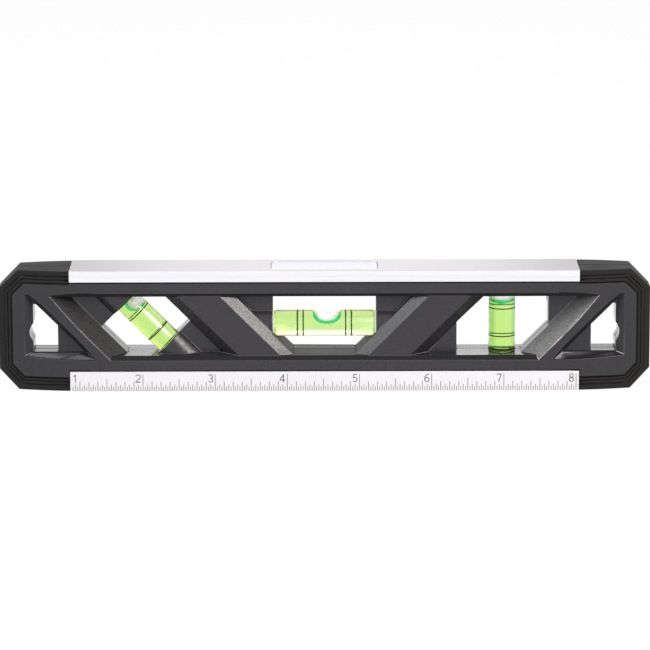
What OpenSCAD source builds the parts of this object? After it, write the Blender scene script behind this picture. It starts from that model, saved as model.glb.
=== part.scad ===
// Nine inch magnetic torpedo level: two moulded half shells clamped by aluminium edge rails and
// rubber end caps, with a level vial, a plumb vial and a 45 degree vial trapped between the halves.
// X runs along the level, -Y is the ruled front face, and Z = 0 is the magnetic working edge.

/* [Overall] */
// Length over the end caps
level_l = 229.4; // [220:0.1:250]
// Height from the magnetic edge to the top edge
level_h = 43.1; // [42.8:0.1:44]
// Thickness across the two faces
level_t = 21; // [20.5:0.1:23]
// Length of the tapering ends
taper_l = 32.7; // [28:0.1:36]
// Radius of the tapering ends seen from above
taper_r = 95; // [85:1:140]

/* [Edge rails] */
// Length of both aluminium rails
rail_l = 179; // [176:0.1:182]
// Thickness of the rail lips
rail_wall = 1.2; // [1:0.05:1.5]
// Height of the lips on the top rail
top_lip_h = 4.05; // [3.6:0.05:4.5]
// Height of the lips on the bottom rail
bottom_lip_h = 7.05; // [6.6:0.05:7.4]
// Thickness of the top rail's reading face
top_plate = 1.4; // [1.2:0.05:1.7]
// Thickness of the bottom rail's base
bottom_plate = 3.6; // [3.3:0.05:3.9]
// How far the hook on a lip reaches inwards
hook_in = 0.5; // [0.3:0.05:0.7]
// Height of that hook
hook_h = 0.8; // [0.6:0.05:1]

/* [Magnet and ruler] */
// Width of the magnet strip
magnet_w = 10.8; // [9:0.1:13]
// Thickness of the magnet strip
magnet_t = 2; // [1.6:0.1:2.3]
// How far the magnet lies back from the working face
magnet_recess = 0.2; // [0.1:0.05:0.4]
// Thickness of the ruler strip
ruler_t = 0.3; // [0.2:0.05:0.5]
// How far the ruler strip stays above the working face
ruler_lift = 0.1; // [0.05:0.05:0.3]

/* [Top lens] */
// Length of the slot in the top rail
lens_l = 37.7; // [34:0.1:40]
// Width of that slot
lens_w = 14.5; // [12:0.1:15]
// Corner radius of that slot
lens_r = 2.5; // [1.5:0.1:4]
// Width of the flange under the rail
lens_flange = 1.2; // [0.8:0.1:1.5]
// Thickness of the flange
lens_flange_t = 1.2; // [1:0.1:1.6]
// How far the lens lies below the top face
lens_recess = 0.2; // [0.1:0.05:0.4]
// Width of the ledge that carries the lens over its light well
lens_ledge = 1; // [0.6:0.1:1.4]

/* [End caps] */
// Width of the rubber band round an end
cap_band = 4.6; // [4.2:0.1:5]
// Chamfer on the outer corners
cap_chamfer = 7.1; // [6:0.1:8.5]
// Reach of the tongue that holds a cap
tongue_reach = 1.6; // [1:0.1:2]
// Half thickness of that tongue
tongue_half = 2; // [1.5:0.1:2.5]
// Width of the grooves round a cap
groove_w = 0.4; // [0.3:0.05:0.6]
// Depth of the inner groove and of the groove round the edge
groove_deep = 0.45; // [0.3:0.05:0.6]
// Depth of the outer groove
groove_shallow = 0.25; // [0.15:0.05:0.4]
// Distance of the inner groove from the shells
groove_in = 1.45; // [1.2:0.05:1.6]
// Distance of the outer groove from the shells
groove_out = 2.7; // [2.4:0.05:3]

/* [Shells] */
// Plastic band between the top lip and the pocket
top_band = 3.85; // [3.4:0.05:4.2]
// Plastic band between the bottom lip and the pocket
bottom_band = 3.95; // [3.5:0.05:4.3]
// Chamfer round the pocket
pocket_chamfer = 1.5; // [1:0.1:2]
// Draft of the moulded walls
draft = 3.5; // [2:0.1:4.5]
// Half thickness of the web in the long pocket
web_half = 4.5; // [4:0.1:5]
// Distance along the level from the end pocket's foot to the face edge of the outer ramp
bar_w = 6.9; // [6.5:0.1:8]
// Run of that ramp along the level, from the face in to the web
ramp_run = 8; // [7:0.1:9]
// Depth of the raised panels below the face
panel_recess = 1.4; // [1:0.1:1.8]
// Offset of a panel's outer foot from the 45 degree line
panel_foot = 23.5; // [23:0.1:24.5]
// Offset of a panel's outer edge
panel_outer = 17.8; // [17:0.1:18.5]
// Offset of a panel's inner edge
panel_inner = 3.1; // [2:0.1:3.5]
// Offset of the sill beside the middle window
sill = -1.8; // [-2.5:0.1:-1.2]
// Depth of that sill below the panel
sill_drop = 2; // [1.5:0.1:2.5]
// Radius of the bosses over the level vial's ends
level_boss_r = 6.9; // [6.5:0.1:7]
// Radius of the bosses over the 45 degree vial's ends
angle_boss_r = 7.6; // [7:0.1:8]
// Radius of the pins that line the halves up
pin_r = 1.5; // [1:0.1:1.8]
// Length of those pins
pin_l = 2.5; // [1.5:0.1:3]
// Distance of the inner pins from the middle
pin_inner_x = 33; // [30:0.1:35]

/* [Windows] */
// Half width of the middle window
level_window = 18.2; // [17:0.1:19]
// Half length of the 45 degree window along its vial
angle_window_l = 10.3; // [9.8:0.1:10.6]
// How far a window cuts into the slope beside it
trim = 0.4; // [0.3:0.05:0.6]

/* [End pockets] */
// Half thickness of the web in the end pockets
end_web_half = 5.5; // [5.2:0.1:5.8]
// Inset of the hang hole from the end of the level
hole_inset = 12.2; // [11:0.1:12.5]
// Width of the hang hole
hole_w = 8.6; // [8:0.1:9.4]
// Height of the hang hole's lower edge above the long pocket's floor
hole_lift = 2.3; // [1.8:0.1:3]
// Depth below the long pocket's ceiling where the hang hole's slope meets its end
hole_drop = 3.7; // [3:0.1:4.5]
// Width of the hang hole's blunt top
hole_blunt = 1.1; // [0.6:0.1:1.8]
// Width of the ledge round the hang hole at the foot of the pocket
hole_ledge = 0.3; // [0.2:0.05:0.5]
// Spread of the end wall for each unit of depth
side_spread = 1.35; // [1:0.05:1.6]
// Spread of the lower wall for each unit of depth
floor_spread = 0.35; // [0.2:0.05:0.6]
// Spread of the sloped wall for each unit of depth
slope_spread = 0.2; // [0.1:0.05:0.4]
// Depth of the pocket's blunt top below the long pocket's ceiling
end_pocket_drop = 1.2; // [0.8:0.1:2]
// Radius of the hang notch
notch_r = 4.5; // [4.2:0.1:4.8]
// Distance of the hang notch from the end of the level
notch_inset = 15.4; // [14.7:0.1:15.5]
// Depth of the hang notch below the middle of the pocket
notch_drop = 2.7; // [1:0.1:4]

/* [Vials] */
// Radius of the vial tubes
tube_r = 4.7; // [4.5:0.05:4.9]
// Wall of the vial tubes at their ends
tube_wall = 1.05; // [0.9:0.05:1.2]
// How much wider the bore is in the middle, which makes the bubble seek it
barrel = 0.1; // [0.05:0.01:0.2]
// Depth of the grooves that hold the rings
ring_depth = 0.15; // [0.1:0.05:0.25]
// Width of a ring
ring_w = 0.4; // [0.3:0.05:0.6]
// How far the plugs lie inside the tube ends
plug_recess = 0.3; // [0.1:0.05:0.6]

/* [Level vial] */
// Half length of the tube
level_tube_half = 21; // [20:0.1:23]
// Half length of the liquid
level_liquid_half = 17; // [16:0.1:17.5]
// Distance of the inner rings from the middle
level_ring_in = 7.4; // [6.5:0.1:8]
// Distance of the outer rings from the middle
level_ring_out = 9.4; // [8.8:0.1:11]
// Height of the vial below the middle of the pocket
level_vial_drop = 0.7; // [0:0.1:1.5]
// Radius of the bubble seen from the front
level_bubble_r = 5.2; // [4.8:0.1:5.6]
// Height of the bubble's centre over the vial's axis
level_bubble_rise = 4.9; // [4.5:0.1:5.2]
// How far the bubble stands off the middle
level_bubble_off = 0.9; // [-2:0.1:2]

/* [Plumb vial] */
// Shift of the vial along the level from the middle of its window
plumb_shift = -0.2; // [-1:0.1:1]
// Half length of the tube
plumb_tube_half = 13.5; // [12.5:0.1:14.5]
// Half length of the liquid
plumb_liquid_half = 11.3; // [10.5:0.1:11.8]
// Distance of the rings from the middle
plumb_ring = 4.95; // [4:0.1:6]
// Length of the bubble
plumb_bubble_l = 5.2; // [4:0.1:6]
// Radius of the bubble's rounded end
plumb_bubble_r = 4.6; // [4:0.1:6]

/* [45 degree vial] */
// Shift of the vial along the level from the middle of its window
angle_shift = -0.7; // [-1:0.1:1]
// How far the vial lies down its own axis from the middle of its window
angle_slip = 0.4; // [0:0.1:0.6]
// Height of the vial above the middle of the pocket
angle_vial_lift = 0.4; // [0:0.1:0.8]
// Half length of the tube
angle_tube_half = 14; // [13:0.1:14.5]
// Half length of the liquid
angle_liquid_half = 11; // [10.2:0.1:11.5]
// Distance of the rings from the middle
angle_ring = 4.75; // [4:0.05:6]
// Radius of the bubble
angle_bubble_r = 3.4; // [3:0.1:3.8]
// How far the bubble's centre lies towards the upper wall
angle_bubble_off = 1.9; // [1:0.1:2.4]
// Distance of the bubble's centre from the upper end of the liquid
angle_bubble_drop = 2.7; // [2:0.1:3]

/* [Fits] */
// Clearance between shells and rails
rail_fit = 0.05; // [0.02:0.01:0.1]
// Shadow gap between a lip and the plastic beside it
rail_gap = 0.2; // [0.1:0.05:0.35]
// Clearance round the rubber caps
cap_fit = 0.1; // [0.05:0.01:0.15]
// Clearance round the vials, the lens and the pins
seat_fit = 0.05; // [0.02:0.01:0.1]
// Clearance round the plugs in the tube ends
plug_fit = 0.02; // [0.01:0.01:0.05]
// Clearance round a bubble
bubble_fit = 0.1; // [0.06:0.01:0.15]

/* [Hidden] */
$fn = 64;
arc_fn = 720;
barrel_steps = 4;
spill = 1;
half_l = level_l / 2;
half_t = level_t / 2;
taper_start = half_l - taper_l;

rail_half = rail_l / 2;
shoulder_top = level_h - top_lip_h - rail_gap;
shoulder_bottom = bottom_lip_h + rail_gap;
core_y = half_t - rail_wall - rail_fit;
neck_y = core_y - hook_in;
core_top = level_h - top_plate - rail_fit;
core_bottom = bottom_plate + rail_fit;
neck_top = level_h - top_lip_h + hook_h + rail_fit;
neck_bottom = bottom_lip_h - hook_h - rail_fit;
lens_seat_z = core_top - lens_flange_t - seat_fit;

floor_z = bottom_lip_h + bottom_band;
ceiling_z = level_h - top_lip_h - top_band;
pocket_mid = (floor_z + ceiling_z) / 2;
pocket_y = half_t - pocket_chamfer;
panel_y = half_t - panel_recess;
window_low = floor_z - spill;
window_high = ceiling_z + spill;

hole_x1 = half_l - hole_inset;
hole_x0 = hole_x1 - hole_w;
hole_bottom = floor_z + hole_lift;
end_pocket_top = ceiling_z - end_pocket_drop;
notch_x = half_l - notch_inset;
notch_z = pocket_mid - notch_drop;
hole_top = ceiling_z - hole_drop - hole_blunt;

// Sloping edges are lines X - Z = offset, and these are their offsets.
hole_slope = hole_x1 - ceiling_z + hole_drop;
ramp_face = hole_slope - bar_w;
ramp_foot = ramp_face - ramp_run;
window_mid = (panel_foot + ramp_foot) / 2;

pin_outer_x = (ramp_foot + hole_slope) / 2 + pocket_mid;
level_vial_z = pocket_mid - level_vial_drop;
plumb_vial_z = pocket_mid;
angle_vial_z = pocket_mid + angle_vial_lift;
plumb_x = window_mid + plumb_vial_z + plumb_shift;
angle_x = window_mid + angle_vial_z + angle_shift;
bore_r = tube_r - tube_wall;
bubble_r = bore_r - bubble_fit;
level_ring_at = [-level_ring_out, -level_ring_in, level_ring_in, level_ring_out];
plumb_ring_at = [-plumb_ring, plumb_ring];
angle_ring_at = [-angle_ring, angle_ring];
level_ball_at = [-level_bubble_rise, 0, level_bubble_off];
plumb_ball_at = [0, 0, plumb_liquid_half - bubble_fit - plumb_bubble_l + plumb_bubble_r];
angle_ball_at = [angle_bubble_off, 0, angle_liquid_half - angle_bubble_drop];

shell_black = [0.16, 0.16, 0.17];
cap_grey = [0.2, 0.2, 0.21];
rail_silver = [0.85, 0.85, 0.87];
ruler_white = [0.96, 0.96, 0.97];
lens_white = [0.93, 0.95, 0.96, 0.7];
magnet_black = [0.1, 0.1, 0.1];
clear_acrylic = [0.95, 0.98, 0.95, 0.3];
plug_white = [0.9, 0.92, 0.88];
liquid_green = [0.7, 0.92, 0.2, 0.6];
bubble_white = [0.95, 1, 0.95, 0.5];
ring_black = [0.05, 0.05, 0.05];

// Sweeps a section drawn as (Y, Z) along the level.
module along_length(l) {
    rotate([90, 0, 90]) linear_extrude(height = l, center = true) children();
}

// Sweeps an outline drawn as (X, Z) through the thickness, from y0 back to y1.
module through(y0, y1) {
    translate([0, y1, 0]) rotate([90, 0, 0]) linear_extrude(height = y1 - y0) children();
}

// Sweeps a section along the 45 degree line that climbs to the right. The section is drawn as
// (distance from that line through the origin, Y).
module along_slope() {
    rotate([0, 45, 0]) linear_extrude(height = 2 * level_l, center = true) children();
}

module both_ends() {
    for (side = [0, 1]) mirror([side, 0, 0]) children();
}

// Repeats its children at both ends of a vial, a given distance from its middle.
module both_ways(start) {
    for (way = [0, 1]) mirror([0, 0, way]) translate([0, 0, start]) children();
}

// Distance of the line X - Z = offset from the 45 degree line through the origin.
function slope(offset) = offset / sqrt(2);

// The level seen from above, drawn in by an even margin.
module plan_outline(margin = 0) {
    intersection() {
        square([level_l, level_t], center = true);
        union() {
            square([2 * taper_start, level_t - 2 * margin], center = true);
            for (side = [-1, 1]) translate([side * taper_start, 0]) intersection() {
                translate([0, taper_r - half_t]) circle(taper_r - margin, $fn = arc_fn);
                translate([0, half_t - taper_r]) circle(taper_r - margin, $fn = arc_fn);
            }
        }
    }
}

// The level seen from the front with chamfered corners, drawn in by an even margin.
module end_outline(margin) {
    x = half_l - margin;
    z0 = margin;
    z1 = level_h - margin;
    c = cap_chamfer - margin * (2 - sqrt(2));
    polygon([[-x + c, z0], [x - c, z0], [x, z0 + c], [x, z1 - c],
        [x - c, z1], [-x + c, z1], [-x, z1 - c], [-x, z0 + c]]);
}

module right_of_rails(gap) {
    translate([rail_half + gap, -spill]) square([half_l, level_h + 2 * spill]);
}

module rounded_slot(l, w, r) {
    square([l - 2 * r, w], center = true);
    square([l, w - 2 * r], center = true);
    for (x = [-1, 1], y = [-1, 1]) translate([x * (l / 2 - r), y * (w / 2 - r)]) circle(r);
}

// Each vial is drawn standing on its own axis and then carried to its place.
module at_level_vial() {
    translate([0, 0, level_vial_z]) rotate([0, 90, 0]) children();
}

module at_plumb_vial() {
    translate([plumb_x, 0, plumb_vial_z]) children();
}

module at_angle_window() {
    translate([-angle_x, 0, angle_vial_z]) rotate([0, -45, 0]) children();
}

module at_angle_vial() {
    at_angle_window() translate([0, 0, -angle_slip]) children();
}

// Section of the long pocket and its windows, from the face in to depth y_in.
module pocket_section(y_in) {
    rise = (pocket_y - y_in) * tan(draft);
    polygon([[-half_t - spill, floor_z - spill], [-pocket_y, floor_z + pocket_chamfer],
        [-y_in, floor_z + pocket_chamfer + rise], [-y_in, ceiling_z - pocket_chamfer - rise],
        [-pocket_y, ceiling_z - pocket_chamfer], [-half_t - spill, ceiling_z + spill]]);
}

// Section of the space on the inner side of a ramp.
module ramp_section() {
    run = (slope(ramp_face) - slope(ramp_foot)) / (half_t - web_half);
    polygon([[-level_l, -half_t - spill], [slope(ramp_face) + run * spill, -half_t - spill],
        [slope(ramp_foot), -web_half], [-level_l, -web_half]]);
}

// Section of a raised panel between the middle window and an outer one.
module panel_section() {
    polygon([[slope(panel_foot), -web_half + spill], [slope(panel_foot), -web_half],
        [slope(panel_outer), -panel_y], [slope(panel_inner), -panel_y],
        [slope(sill - trim), -panel_y + sill_drop], [slope(sill - trim), -web_half + spill]]);
}

module vial_bosses() {
    at_level_vial() both_ways(level_window - trim) cylinder(r = level_boss_r, h = level_window);
    at_angle_window() both_ways(angle_window_l - trim) cylinder(r = angle_boss_r, h = 2 * angle_window_l);
}

module long_pocket() {
    difference() {
        intersection() {
            along_length(level_l) pocket_section(web_half);
            along_slope() ramp_section();
            mirror([1, 0, 0]) along_slope() ramp_section();
        }
        both_ends() along_slope() panel_section();
        vial_bosses();
    }
}

module level_window_outline() {
    turn = level_window - sill;
    foot = window_low + sill;
    polygon([[-level_window, window_high], [-level_window, turn], [-foot, window_low],
        [foot, window_low], [level_window, turn], [level_window, window_high]]);
}

module plumb_window_outline() {
    left = panel_foot + pocket_mid;
    right = ramp_foot + pocket_mid - trim;
    upper = panel_foot - trim;
    lower = ramp_foot + trim;
    polygon([[left, window_low], [left, left - upper], [upper + window_high, window_high],
        [right, window_high], [right, right - lower], [lower + window_low, window_low]]);
}

// Drawn along its vial, from the foot of the panel out to the foot of the ramp.
module angle_window_outline() {
    outer = slope(ramp_foot + trim - angle_x + angle_vial_z);
    inner = slope(panel_foot - trim - angle_x + angle_vial_z);
    translate([-angle_x, angle_vial_z]) rotate(45)
        translate([-outer, -angle_window_l]) square([outer - inner, 2 * angle_window_l]);
}

module windows() {
    intersection() {
        along_length(level_l) pocket_section(-spill);
        through(-half_t - spill, spill) {
            level_window_outline();
            plumb_window_outline();
            angle_window_outline();
        }
    }
}

// Pocket with sloping walls at the right end, and the hang hole through its web.
module end_pocket() {
    y_in = -end_web_half;
    y_out = -half_t - spill;
    depth = y_in - y_out;
    foot_z = hole_bottom - hole_ledge;
    foot_x = hole_x1 + hole_ledge;
    foot_slope = slope(hole_slope) - hole_ledge;
    intersection() {
        along_length(level_l) polygon([[y_in, foot_z], [y_in, end_pocket_top],
            [y_out, end_pocket_top], [y_out, foot_z - depth * floor_spread]]);
        linear_extrude(height = level_h) polygon([[0, y_in], [foot_x, y_in],
            [foot_x + depth * side_spread, y_out], [0, y_out]]);
        along_slope() polygon([[foot_slope, y_in], [level_l, y_in], [level_l, y_out],
            [foot_slope - depth * slope_spread, y_out]]);
    }
    through(-half_t - spill, spill) {
        polygon([[hole_x0, hole_bottom], [hole_x1, hole_bottom], [hole_x1, hole_top],
            [hole_x1 - hole_blunt, hole_top], [hole_x0, hole_x0 - hole_slope]]);
        translate([notch_x, notch_z]) circle(notch_r);
    }
}

module vial_seats() {
    r = tube_r + seat_fit;
    at_level_vial() cylinder(r = r, h = 2 * (level_tube_half + seat_fit), center = true);
    at_plumb_vial() cylinder(r = r, h = 2 * (plumb_tube_half + seat_fit), center = true);
    at_angle_vial() cylinder(r = r, h = 2 * (angle_tube_half + seat_fit), center = true);
}

// Seat of the lens flange, and the light well down to the level vial.
module lens_well() {
    well_z = ceiling_z - 2 * pocket_chamfer;
    rim = lens_flange + seat_fit;
    translate([0, 0, lens_seat_z]) linear_extrude(height = lens_flange_t + spill)
        rounded_slot(lens_l + 2 * rim, lens_w + 2 * rim, lens_r + rim);
    translate([0, 0, well_z]) linear_extrude(height = lens_seat_z - well_z + seat_fit)
        rounded_slot(lens_l - 2 * lens_ledge, lens_w - 2 * lens_ledge, lens_r);
}

// Section of a half shell between the rails, with grooves for the hooks on the lips.
module shell_section() {
    difference() {
        translate([-core_y, core_bottom]) square([core_y, core_top - core_bottom]);
        translate([-half_t, shoulder_top]) square([half_t - neck_y, neck_top - shoulder_top]);
        translate([-half_t, neck_bottom]) square([half_t - neck_y, shoulder_bottom - neck_bottom]);
    }
    translate([-half_t, shoulder_bottom]) square([half_t, shoulder_top - shoulder_bottom]);
}

module shell_block() {
    intersection() {
        linear_extrude(height = level_h) plan_outline();
        union() {
            along_length(2 * (rail_half + cap_fit)) shell_section();
            both_ends() through(-half_t, 0) intersection() {
                end_outline(cap_band + cap_fit);
                right_of_rails(rail_fit);
            }
            both_ends() through(-tongue_half, 0) intersection() {
                end_outline(cap_band - tongue_reach);
                right_of_rails(rail_fit);
            }
        }
    }
}

// The front half. The rear half is its mirror image.
module half_shell() {
    difference() {
        shell_block();
        long_pocket();
        windows();
        both_ends() end_pocket();
        vial_seats();
        lens_well();
    }
}

// Pins, or the holes for them with a clearance, on the plane where the halves meet.
module locating_pins(fit = 0) {
    for (x = [-pin_outer_x, -pin_inner_x, pin_inner_x, pin_outer_x]) translate([x, 0, pocket_mid])
        rotate([-90, 0, 0]) translate([0, 0, -spill])
            cylinder(r = pin_r + fit, h = pin_l + spill + 2 * fit);
}

module front_shell() {
    color(shell_black) {
        half_shell();
        locating_pins();
    }
}

module rear_shell() {
    color(shell_black) difference() {
        mirror([0, 1, 0]) half_shell();
        locating_pins(seat_fit);
    }
}

// Section of the space that a rail clasps: wide behind the hooks and narrow between them.
module clasp_section(hook_z, inner_z, inner_h) {
    inner = half_t - rail_wall;
    mouth = inner - hook_in;
    translate([-inner, inner_z]) square([2 * inner, inner_h]);
    translate([-mouth, hook_z - spill]) square([2 * mouth, hook_h + 2 * spill]);
}

module top_rail_section() {
    lip_z = level_h - top_lip_h;
    difference() {
        translate([-half_t, lip_z]) square([level_t, top_lip_h]);
        clasp_section(lip_z, lip_z + hook_h, top_lip_h - hook_h - top_plate);
    }
}

module top_rail() {
    color(rail_silver) difference() {
        along_length(rail_l) top_rail_section();
        translate([0, 0, level_h - top_plate - spill]) linear_extrude(height = top_plate + 2 * spill)
            rounded_slot(lens_l, lens_w, lens_r);
    }
}

// The bottom rail has a groove for the magnet below and a rebate for the ruler in front.
module bottom_rail_section() {
    groove = magnet_w / 2 + seat_fit;
    difference() {
        translate([-half_t, 0]) square([level_t, bottom_lip_h]);
        clasp_section(bottom_lip_h - hook_h, bottom_plate, bottom_lip_h - hook_h - bottom_plate);
        translate([-groove, -spill]) square([2 * groove, magnet_recess + magnet_t + spill]);
        translate([-half_t - spill, -spill])
            square([ruler_t + spill, bottom_lip_h + 2 * spill]);
    }
}

module bottom_rail() {
    color(rail_silver) along_length(rail_l) bottom_rail_section();
}

module magnet_strip() {
    color(magnet_black) along_length(rail_l)
        translate([-magnet_w / 2, magnet_recess]) square([magnet_w, magnet_t]);
}

module ruler_strip() {
    color(ruler_white) along_length(rail_l)
        translate([-half_t, ruler_lift]) square([ruler_t, bottom_lip_h - ruler_lift]);
}

module top_lens() {
    color(lens_white) {
        translate([0, 0, core_top - lens_flange_t]) linear_extrude(height = lens_flange_t)
            rounded_slot(lens_l + 2 * lens_flange, lens_w + 2 * lens_flange, lens_r + lens_flange);
        translate([0, 0, core_top - lens_flange_t])
            linear_extrude(height = level_h - lens_recess - core_top + lens_flange_t)
                rounded_slot(lens_l - 2 * seat_fit, lens_w - 2 * seat_fit, lens_r - seat_fit);
    }
}

// A line round the cap's faces, as a band of the given width that starts at a margin.
module face_groove(margin, depth) {
    difference() {
        through(-half_t, half_t) difference() {
            end_outline(margin);
            end_outline(margin + groove_w);
        }
        linear_extrude(height = level_h) plan_outline(depth);
    }
}

// The right hand cap: a rubber band round the end, held by the tongue of the shells.
module end_cap() {
    difference() {
        intersection() {
            translate([0, 0, cap_fit]) linear_extrude(height = level_h - 2 * cap_fit) plan_outline();
            through(-half_t, half_t) intersection() {
                difference() {
                    end_outline(0);
                    end_outline(cap_band);
                }
                right_of_rails(cap_fit);
            }
        }
        through(-tongue_half - cap_fit, tongue_half + cap_fit)
            end_outline(cap_band - tongue_reach - cap_fit);
        face_groove(cap_band - groove_in, groove_deep);
        face_groove(cap_band - groove_out, groove_shallow);
        through(-groove_w / 2, groove_w / 2) difference() {
            end_outline(-spill);
            end_outline(groove_deep);
        }
    }
}

module right_end_cap() {
    color(cap_grey) end_cap();
}

module left_end_cap() {
    color(cap_grey) mirror([1, 0, 0]) end_cap();
}

// Half section of the liquid: the bore is a barrel, widest in the middle.
module liquid_section(liquid_half) {
    polygon(concat([[0, -liquid_half]],
        [for (i = [-barrel_steps:barrel_steps])
            let (t = i / barrel_steps) [bore_r + barrel * (1 - t * t), t * liquid_half]],
        [[0, liquid_half]]));
}

module ring_section(at) {
    for (z = at) translate([tube_r - ring_depth, z - ring_w / 2]) square([ring_depth, ring_w]);
}

module tube(tube_half, liquid_half, ring_at) {
    rotate_extrude() difference() {
        translate([0, -tube_half]) square([tube_r, 2 * tube_half]);
        translate([0, -tube_half - spill]) square([bore_r, 2 * (tube_half + spill)]);
        liquid_section(liquid_half);
        ring_section(ring_at);
    }
}

module plugs(tube_half, liquid_half) {
    both_ways(liquid_half) cylinder(r = bore_r - plug_fit, h = tube_half - liquid_half - plug_recess);
}

module rings(ring_at) {
    rotate_extrude() ring_section(ring_at);
}

// A bubble is the part of a ball that lies inside the bore, up to the end of the liquid.
module bubble(ball_at, ball_r, liquid_half, lean = 0) {
    intersection() {
        cylinder(r = bubble_r, h = 2 * (liquid_half - bubble_fit), center = true);
        translate(ball_at) rotate([0, lean, 0]) sphere(ball_r);
    }
}

module liquid(liquid_half, ball_at, ball_r, lean = 0) {
    difference() {
        rotate_extrude() liquid_section(liquid_half);
        translate(ball_at) rotate([0, lean, 0]) sphere(ball_r + bubble_fit);
    }
}

module level_vial_tube() {
    color(clear_acrylic) at_level_vial() tube(level_tube_half, level_liquid_half, level_ring_at);
}

module level_vial_plugs() {
    color(plug_white) at_level_vial() plugs(level_tube_half, level_liquid_half);
}

module level_vial_liquid() {
    color(liquid_green) at_level_vial() liquid(level_liquid_half, level_ball_at, level_bubble_r);
}

module level_vial_bubble() {
    color(bubble_white) at_level_vial() bubble(level_ball_at, level_bubble_r, level_liquid_half);
}

module level_vial_rings() {
    color(ring_black) at_level_vial() rings(level_ring_at);
}

module plumb_vial_tube() {
    color(clear_acrylic) at_plumb_vial() tube(plumb_tube_half, plumb_liquid_half, plumb_ring_at);
}

module plumb_vial_plugs() {
    color(plug_white) at_plumb_vial() plugs(plumb_tube_half, plumb_liquid_half);
}

module plumb_vial_liquid() {
    color(liquid_green) at_plumb_vial() liquid(plumb_liquid_half, plumb_ball_at, plumb_bubble_r);
}

module plumb_vial_bubble() {
    color(bubble_white) at_plumb_vial() bubble(plumb_ball_at, plumb_bubble_r, plumb_liquid_half);
}

module plumb_vial_rings() {
    color(ring_black) at_plumb_vial() rings(plumb_ring_at);
}

module angle_vial_tube() {
    color(clear_acrylic) at_angle_vial() tube(angle_tube_half, angle_liquid_half, angle_ring_at);
}

module angle_vial_plugs() {
    color(plug_white) at_angle_vial() plugs(angle_tube_half, angle_liquid_half);
}

module angle_vial_liquid() {
    color(liquid_green) at_angle_vial() liquid(angle_liquid_half, angle_ball_at, angle_bubble_r, 45);
}

module angle_vial_bubble() {
    color(bubble_white) at_angle_vial() bubble(angle_ball_at, angle_bubble_r, angle_liquid_half, 45);
}

module angle_vial_rings() {
    color(ring_black) at_angle_vial() rings(angle_ring_at);
}

front_shell();
rear_shell();
top_rail();
bottom_rail();
left_end_cap();
right_end_cap();
top_lens();
magnet_strip();
ruler_strip();
level_vial_tube();
level_vial_plugs();
level_vial_liquid();
level_vial_bubble();
level_vial_rings();
plumb_vial_tube();
plumb_vial_plugs();
plumb_vial_liquid();
plumb_vial_bubble();
plumb_vial_rings();
angle_vial_tube();
angle_vial_plugs();
angle_vial_liquid();
angle_vial_bubble();
angle_vial_rings();
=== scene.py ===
"""Looks of a nine inch magnetic torpedo level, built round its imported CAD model.

Sizes are in metres, in the frame of the CAD model: X runs along the level, -Y is the ruled front
face, and Z = 0 is the magnetic working edge.
"""

import math

import bmesh
import bpy
from mathutils import Matrix, Quaternion, Vector
from mathutils.bvhtree import BVHTree


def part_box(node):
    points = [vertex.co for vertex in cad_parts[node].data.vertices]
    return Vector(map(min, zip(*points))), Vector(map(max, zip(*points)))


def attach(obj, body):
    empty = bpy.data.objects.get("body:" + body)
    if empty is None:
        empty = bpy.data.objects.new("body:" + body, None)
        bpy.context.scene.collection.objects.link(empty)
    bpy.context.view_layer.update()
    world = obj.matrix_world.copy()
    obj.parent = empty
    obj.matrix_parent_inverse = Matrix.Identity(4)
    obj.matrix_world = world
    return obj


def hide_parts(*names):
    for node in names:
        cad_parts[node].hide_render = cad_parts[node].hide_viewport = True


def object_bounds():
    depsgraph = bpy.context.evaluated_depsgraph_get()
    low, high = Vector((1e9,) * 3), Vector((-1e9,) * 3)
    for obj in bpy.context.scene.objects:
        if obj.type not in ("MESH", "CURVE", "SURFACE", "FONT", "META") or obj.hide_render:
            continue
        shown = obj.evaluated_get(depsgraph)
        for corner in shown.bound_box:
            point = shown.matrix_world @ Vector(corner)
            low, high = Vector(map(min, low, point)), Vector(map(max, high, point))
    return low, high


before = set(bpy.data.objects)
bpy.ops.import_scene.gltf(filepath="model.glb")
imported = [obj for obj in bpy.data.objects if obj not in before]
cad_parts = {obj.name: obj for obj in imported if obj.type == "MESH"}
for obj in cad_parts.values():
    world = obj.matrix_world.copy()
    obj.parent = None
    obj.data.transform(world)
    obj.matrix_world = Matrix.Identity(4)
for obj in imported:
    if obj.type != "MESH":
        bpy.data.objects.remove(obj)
CAD_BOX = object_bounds()

bl_info = {
    "name": "Torpedo level",
    "version": (1, 0, 0),
    "blender": (4, 5, 0),
    "location": "3D View > Sidebar > Torpedo level",
    "description": "Finishes the pieces of a nine inch magnetic torpedo level",
    "category": "Object",
}

MM = 0.001
INCH = 0.0254
BODY = "level_body"

# The way along each vial.
ALONG = {
    "level": Vector((1, 0, 0)),
    "plumb": Vector((0, 0, 1)),
    "angle": Vector((-1, 0, 1)).normalized(),
}

# How far from the middle of the level the look of the shells changes.
WINDOW_HALF = 20.0 * MM
# Between these two the shells' colour darkens towards both ends, as painted shade.
END_SHADE_FROM = 55.0 * MM
END_SHADE_TO = 100.0 * MM
# From here on the right ramp's crest gets a painted highlight.
CREST_FROM = 66.0 * MM
POCKET_FROM = 78.0 * MM
RIGHT_FLOOR_TURN = 85.0 * MM
LEFT_FLOOR_TURN = 93.0 * MM

# Height that the end pockets' floors and the sills stay under.
POCKET_TOP = 16.0 * MM

# How far the corners of the end pockets' floors look forwards, up and to the side.
FLOOR_AHEAD = 0.87
FLOOR_UP = 0.36
FLOOR_ASIDE = 0.33
LEFT_FLOOR_ASIDE = 0.24

# The Z of a normal under which a face of the shells gets painted shade, in the end pockets and elsewhere.
TURNED_UNDER = -0.25
UNDERSIDE = -0.6

# How many times wider than others the edges under the end pockets' struts are, and where they narrow.
SOFT_RIM = 5.5
SOFT_FROM = 12.6 * MM
SOFT_TAPER = 6.0 * MM

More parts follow.
